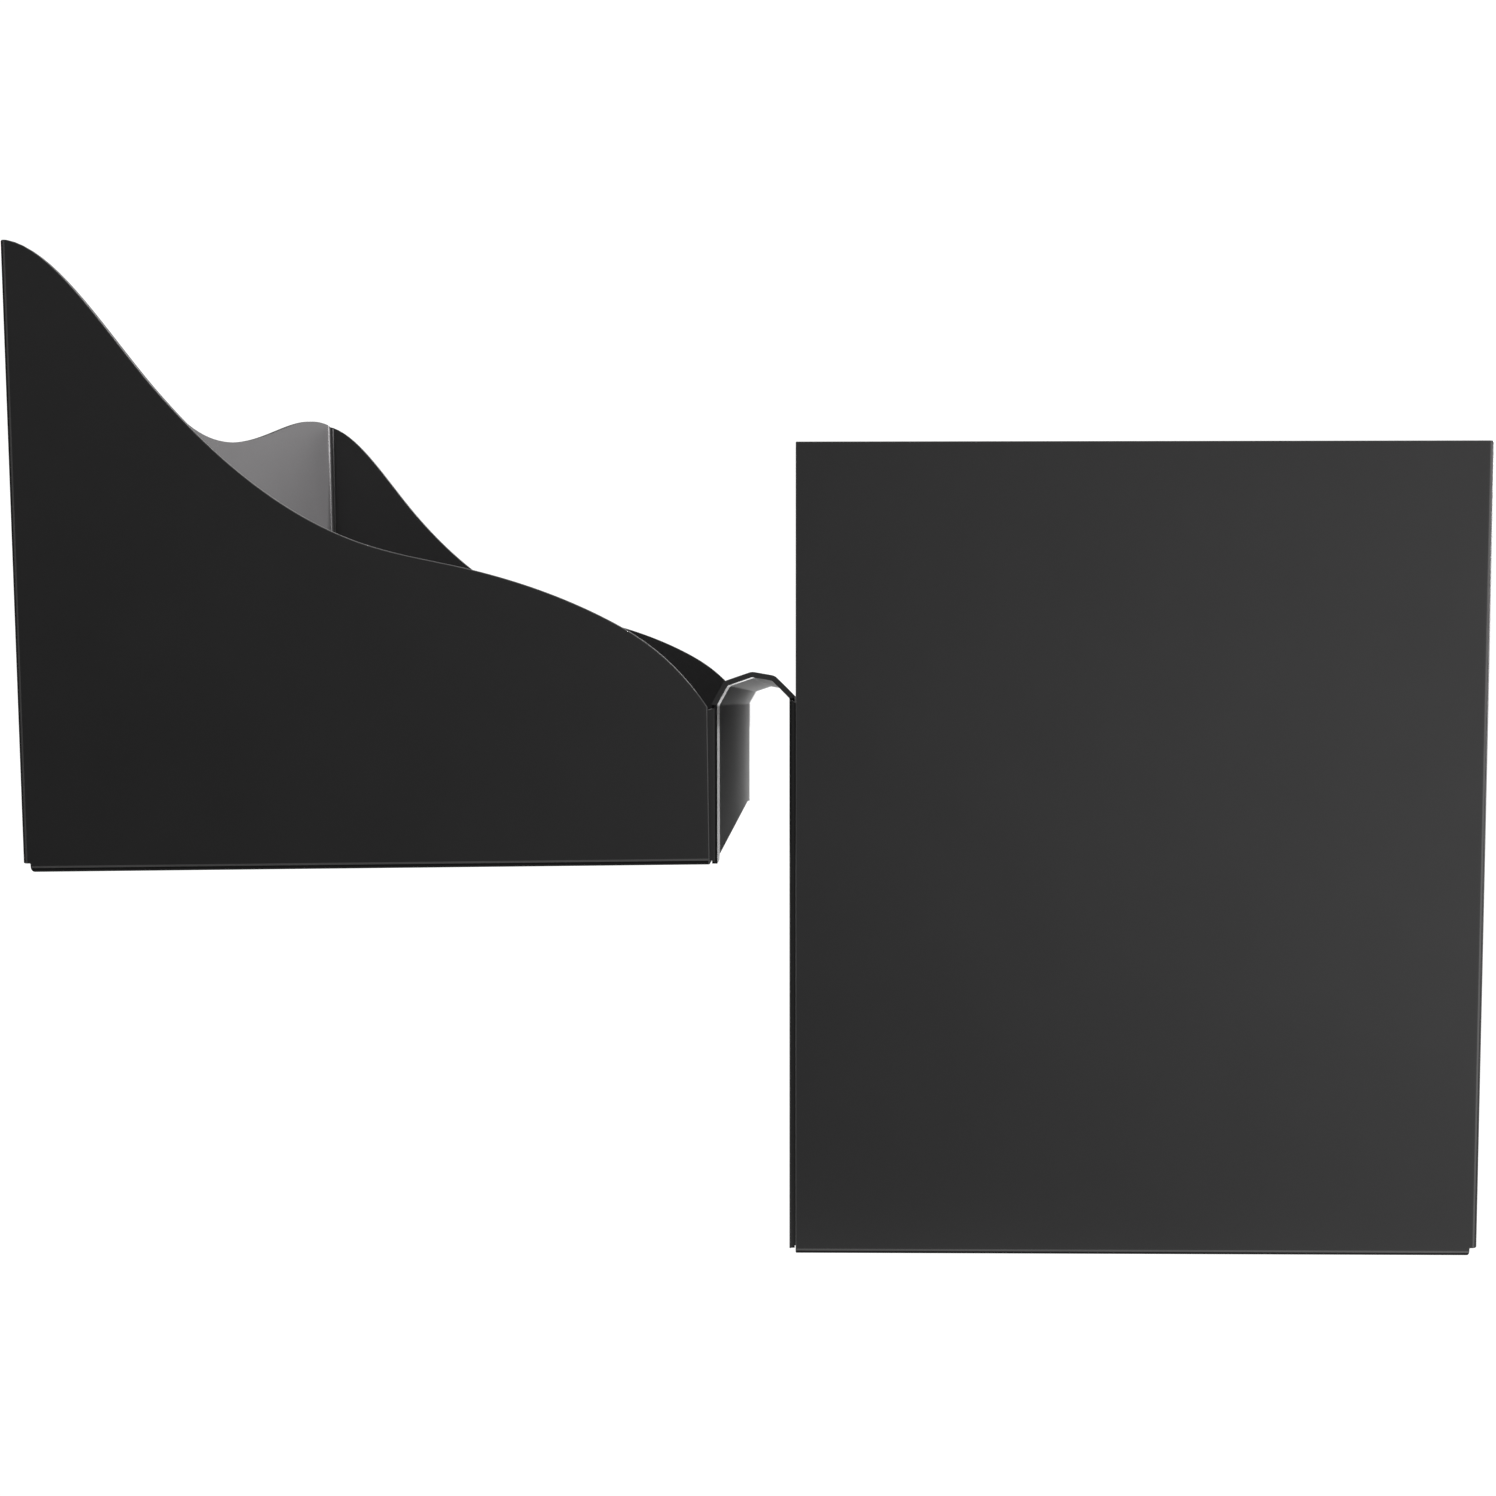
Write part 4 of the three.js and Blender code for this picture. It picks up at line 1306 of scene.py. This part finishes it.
# %% Riffles
def riffle_strip():
    face = -TRAY_LENGTH + RIFFLE_START + SHEET
    foot = RAIL_LOW + 1.7 * MM
    half = HALF_DEPTH - RAIL_Y - RAIL_THICKNESS - GAP
    top = RAIL_LOW + 1 * MM + RIFFLE_HEIGHT
    piece = flat_face("riffle_strip", face, (-half, half), (foot, top), "+X")
    edit(piece)
    pick("VERT", lambda p, v: close(p.z, top))
    shift_picked((-RIFFLE_LEAN, 0, 0))
    pull_edge(lambda p, e: close(p.z, top), (-RIFFLE_LIP, 0, 2 * MM))
    round_folds(lambda p, e: close(p.z, top) and close(p.x, face - RIFFLE_LEAN))
    leave_edit()
    thicken(piece)
    break_edges(piece, [MILL_ALUMINIUM], 0.3 * MM)
    return piece


def copy_along(piece, name, distance):
    """A copy with its own mesh, further along the tray."""
    only(piece)
    bpy.ops.object.duplicate(linked=False)
    copy = bpy.context.object
    copy.name = name
    bpy.ops.transform.translate(value=(distance, 0, 0))
    bpy.ops.object.transform_apply(location=True, rotation=True, scale=True)
    return copy


strip = riffle_strip()
strips = [copy_along(strip, f"riffle_{i + 1}_strip", i * RIFFLE_PITCH) for i in range(RIFFLE_COUNT)]
bpy.data.objects.remove(strip)
for number, strip in enumerate(strips, 1):
    tilt_tray_piece(strip)
    mount(strip, "riffle_frame", "riffle_aluminium", f"riffle_{number}")

# %% [markdown]
# ## Turn-button clamps
# Four clamps hold the riffle frame down on the mat. Each is a folded bracket on the side panel,
# a round-headed stud with a rolled thread, a button that turns over the rail, and a wing nut.
# The bracket is an angle of sheet with a hole in its shelf.

# %% Clamp bracket
STUD_INSET = 12 * MM
SHELF_LOW = 28.6 * MM
SHELF_TOP = SHELF_LOW + SHEET
BUTTON_LOW = SHELF_TOP + GAP
BUTTON_TOP = BUTTON_LOW + 3 * MM
NUT_LOW = BUTTON_TOP + GAP
STUD_RADIUS = 2.5 * MM
HOLE_RADIUS = 2.8 * MM
BRACKET_HALF = 12 * MM
BRACKET_DROP = 14 * MM
STATIONS = {"outlet": 48 * MM, "weir": 206 * MM}
STUD_Y = -HALF_DEPTH + STUD_INSET


def clamp_bracket():
    back = -INNER_HALF
    front = STUD_Y + 6 * MM
    piece = flat_face("clamp_bracket_sheet", (-BRACKET_HALF, BRACKET_HALF), back,
                      (SHELF_LOW - BRACKET_DROP, SHELF_TOP), "-Y")
    edit(piece)
    pull_edge(lambda p, e: close(p.z, SHELF_TOP), (0, front - back, 0))
    round_corners(lambda p, v: close(p.y, front) or p.z < SHELF_LOW, 3 * MM)
    round_folds(lambda p, e: close(p.z, SHELF_TOP) and close(p.y, back))
    leave_edit()
    thicken(piece)
    cut(piece, peg(HOLE_RADIUS, SHELF_LOW - SHEET, SHELF_TOP + SHEET, (0, STUD_Y, 0)))
    break_edges(piece, [COAT, PAINTED_EDGE_HIGHLIGHT], 0.3 * MM)
    return piece


bracket = clamp_bracket()
print("bracket has", len(bracket.data.polygons), "faces")

# %% [markdown]
# The stud's thread is a stack of rings with bevelled rims. A real thread is one long spiral, but
# at this size a ring for each turn looks the same, and it stays a clean closed shape.

# %% Stud
HEAD_RADIUS = 4.5 * MM
HEAD_HEIGHT = 2.5 * MM
STUD_LENGTH = 17 * MM
THREAD_PITCH = 0.8 * MM
THREAD_DEPTH = 0.35 * MM


def finish_fitting(piece, name, finish):
    piece.name = name
    piece.data.materials.clear()
    piece.data.materials.append(finish)
    only(piece)
    bpy.ops.object.shade_smooth_by_angle(angle=SMOOTH_BELOW)
    return piece


def clamp_stud():
    place = (0, STUD_Y, 0)
    top = SHELF_LOW + STUD_LENGTH
    head_low = SHELF_LOW - GAP - HEAD_HEIGHT
    head = peg(HEAD_RADIUS, head_low, SHELF_LOW - GAP, place)
    edit(head)
    round_folds(lambda p, e: close(p.z, head_low), 1.8 * MM)
    leave_edit()
    core = peg(STUD_RADIUS - THREAD_DEPTH, SHELF_LOW - 1 * MM, top, place)
    edit(core)
    round_folds(lambda p, e: close(p.z, top), 0.5 * MM, 2)
    leave_edit()
    thread = peg(STUD_RADIUS, SHELF_LOW, SHELF_LOW + THREAD_PITCH, place)
    edit(thread)
    round_folds(lambda p, e: not along_z(e) and not close(p.z, SHELF_LOW + THREAD_PITCH / 2),
                0.34 * MM, 1)
    leave_edit()
    repeat(thread, int((top - SHELF_LOW) / THREAD_PITCH) - 1, (0, 0, THREAD_PITCH))
    return finish_fitting(join(head, core, thread), "clamp_stud_bolt", ZINC)


stud = clamp_stud()
print("stud has", len(stud.data.polygons), "faces")

# %% [markdown]
# The button is a short bar with both ends rounded right over, and a hole for the stud.

# %% Turn button
def turn_button():
    half = 5 * MM
    reach = 24 * MM
    piece = bar("turn_button_bar", (-reach - half, half), (STUD_Y - half, STUD_Y + half),
                (BUTTON_LOW, BUTTON_TOP))
    edit(piece)
    round_folds(lambda p, e: along_z(e), half - 0.01 * MM, 12)
    leave_edit()
    cut(piece, peg(HOLE_RADIUS, BUTTON_LOW - SHEET, BUTTON_TOP + SHEET, (0, STUD_Y, 0)))
    break_edges(piece, [ZINC], 0.4 * MM, 3)
    return piece


button = turn_button()
print("button has", len(button.data.polygons), "faces")

# %% [markdown]
# The wing nut is a round hub with two wings. A wing is a bar whose outer end is lifted and
# rounded, and the second wing is the first one mirrored.

# %% Wing nut
HUB_RADIUS = 4.8 * MM
HUB_HEIGHT = 6 * MM
WING_REACH = 12 * MM
WING_LIFT = 7.2 * MM


def wing_nut():
    place = (0, STUD_Y, 0)
    hub_top = NUT_LOW + HUB_HEIGHT
    hub = peg(HUB_RADIUS, NUT_LOW, hub_top, place)
    edit(hub)
    round_folds(lambda p, e: close(p.z, hub_top), 0.9 * MM, 4)
    leave_edit()
    cut(hub, peg(HOLE_RADIUS, NUT_LOW - SHEET, hub_top + SHEET, place))
    wing = bar("wing", (3.4 * MM, WING_REACH), (STUD_Y - 1 * MM, STUD_Y + 1 * MM),
               (NUT_LOW + 0.8 * MM, NUT_LOW + 5.6 * MM))
    edit(wing)
    pick("VERT", lambda p, v: close(p.x, WING_REACH))
    shift_picked((0, 0, WING_LIFT))
    round_folds(lambda p, e: close(p.x, WING_REACH) and along_y(e), 2 * MM, 6)
    leave_edit()
    apply_modifier(wing, "BEVEL", width=0.5 * MM, segments=3, limit_method="ANGLE")
    other = mirrored_copy(wing, (-1, 1, 1))
    return finish_fitting(join(hub, wing, other), "wing_nut_casting", ZINC)


nut = wing_nut()
print("wing nut has", len(nut.data.polygons), "faces")

# %% [markdown]
# The four fittings were made once, at the tray's weir end on the near side. Each is copied to its
# two stations along the tray and leant with it, and every copy gets its twin on the far side.
# Only the buttons move, so each has its own body, and the rest belongs to the shell.

# %% Four clamps
fittings = {
    "clamp_bracket": (bracket, "coated_steel"),
    "clamp_stud": (stud, "bright_steel"),
    "turn_button": (button, "bright_steel"),
    "wing_nut": (nut, "bright_steel"),
}
for fitting, (model, slot) in fittings.items():
    for end, station in STATIONS.items():
        near_name, far_name = f"{fitting}_{end}_near", f"{fitting}_{end}_far"
        near_copy = copy_along(model, near_name + "_piece", station - TRAY_LENGTH)
        tilt_tray_piece(near_copy)
        far_copy = twin(near_copy, far_name + "_piece")
        moves = fitting == "turn_button"
        mount(near_copy, near_name if moves else "shell", slot, near_name)
        mount(far_copy, far_name if moves else "shell", slot, far_name)
    bpy.data.objects.remove(model)
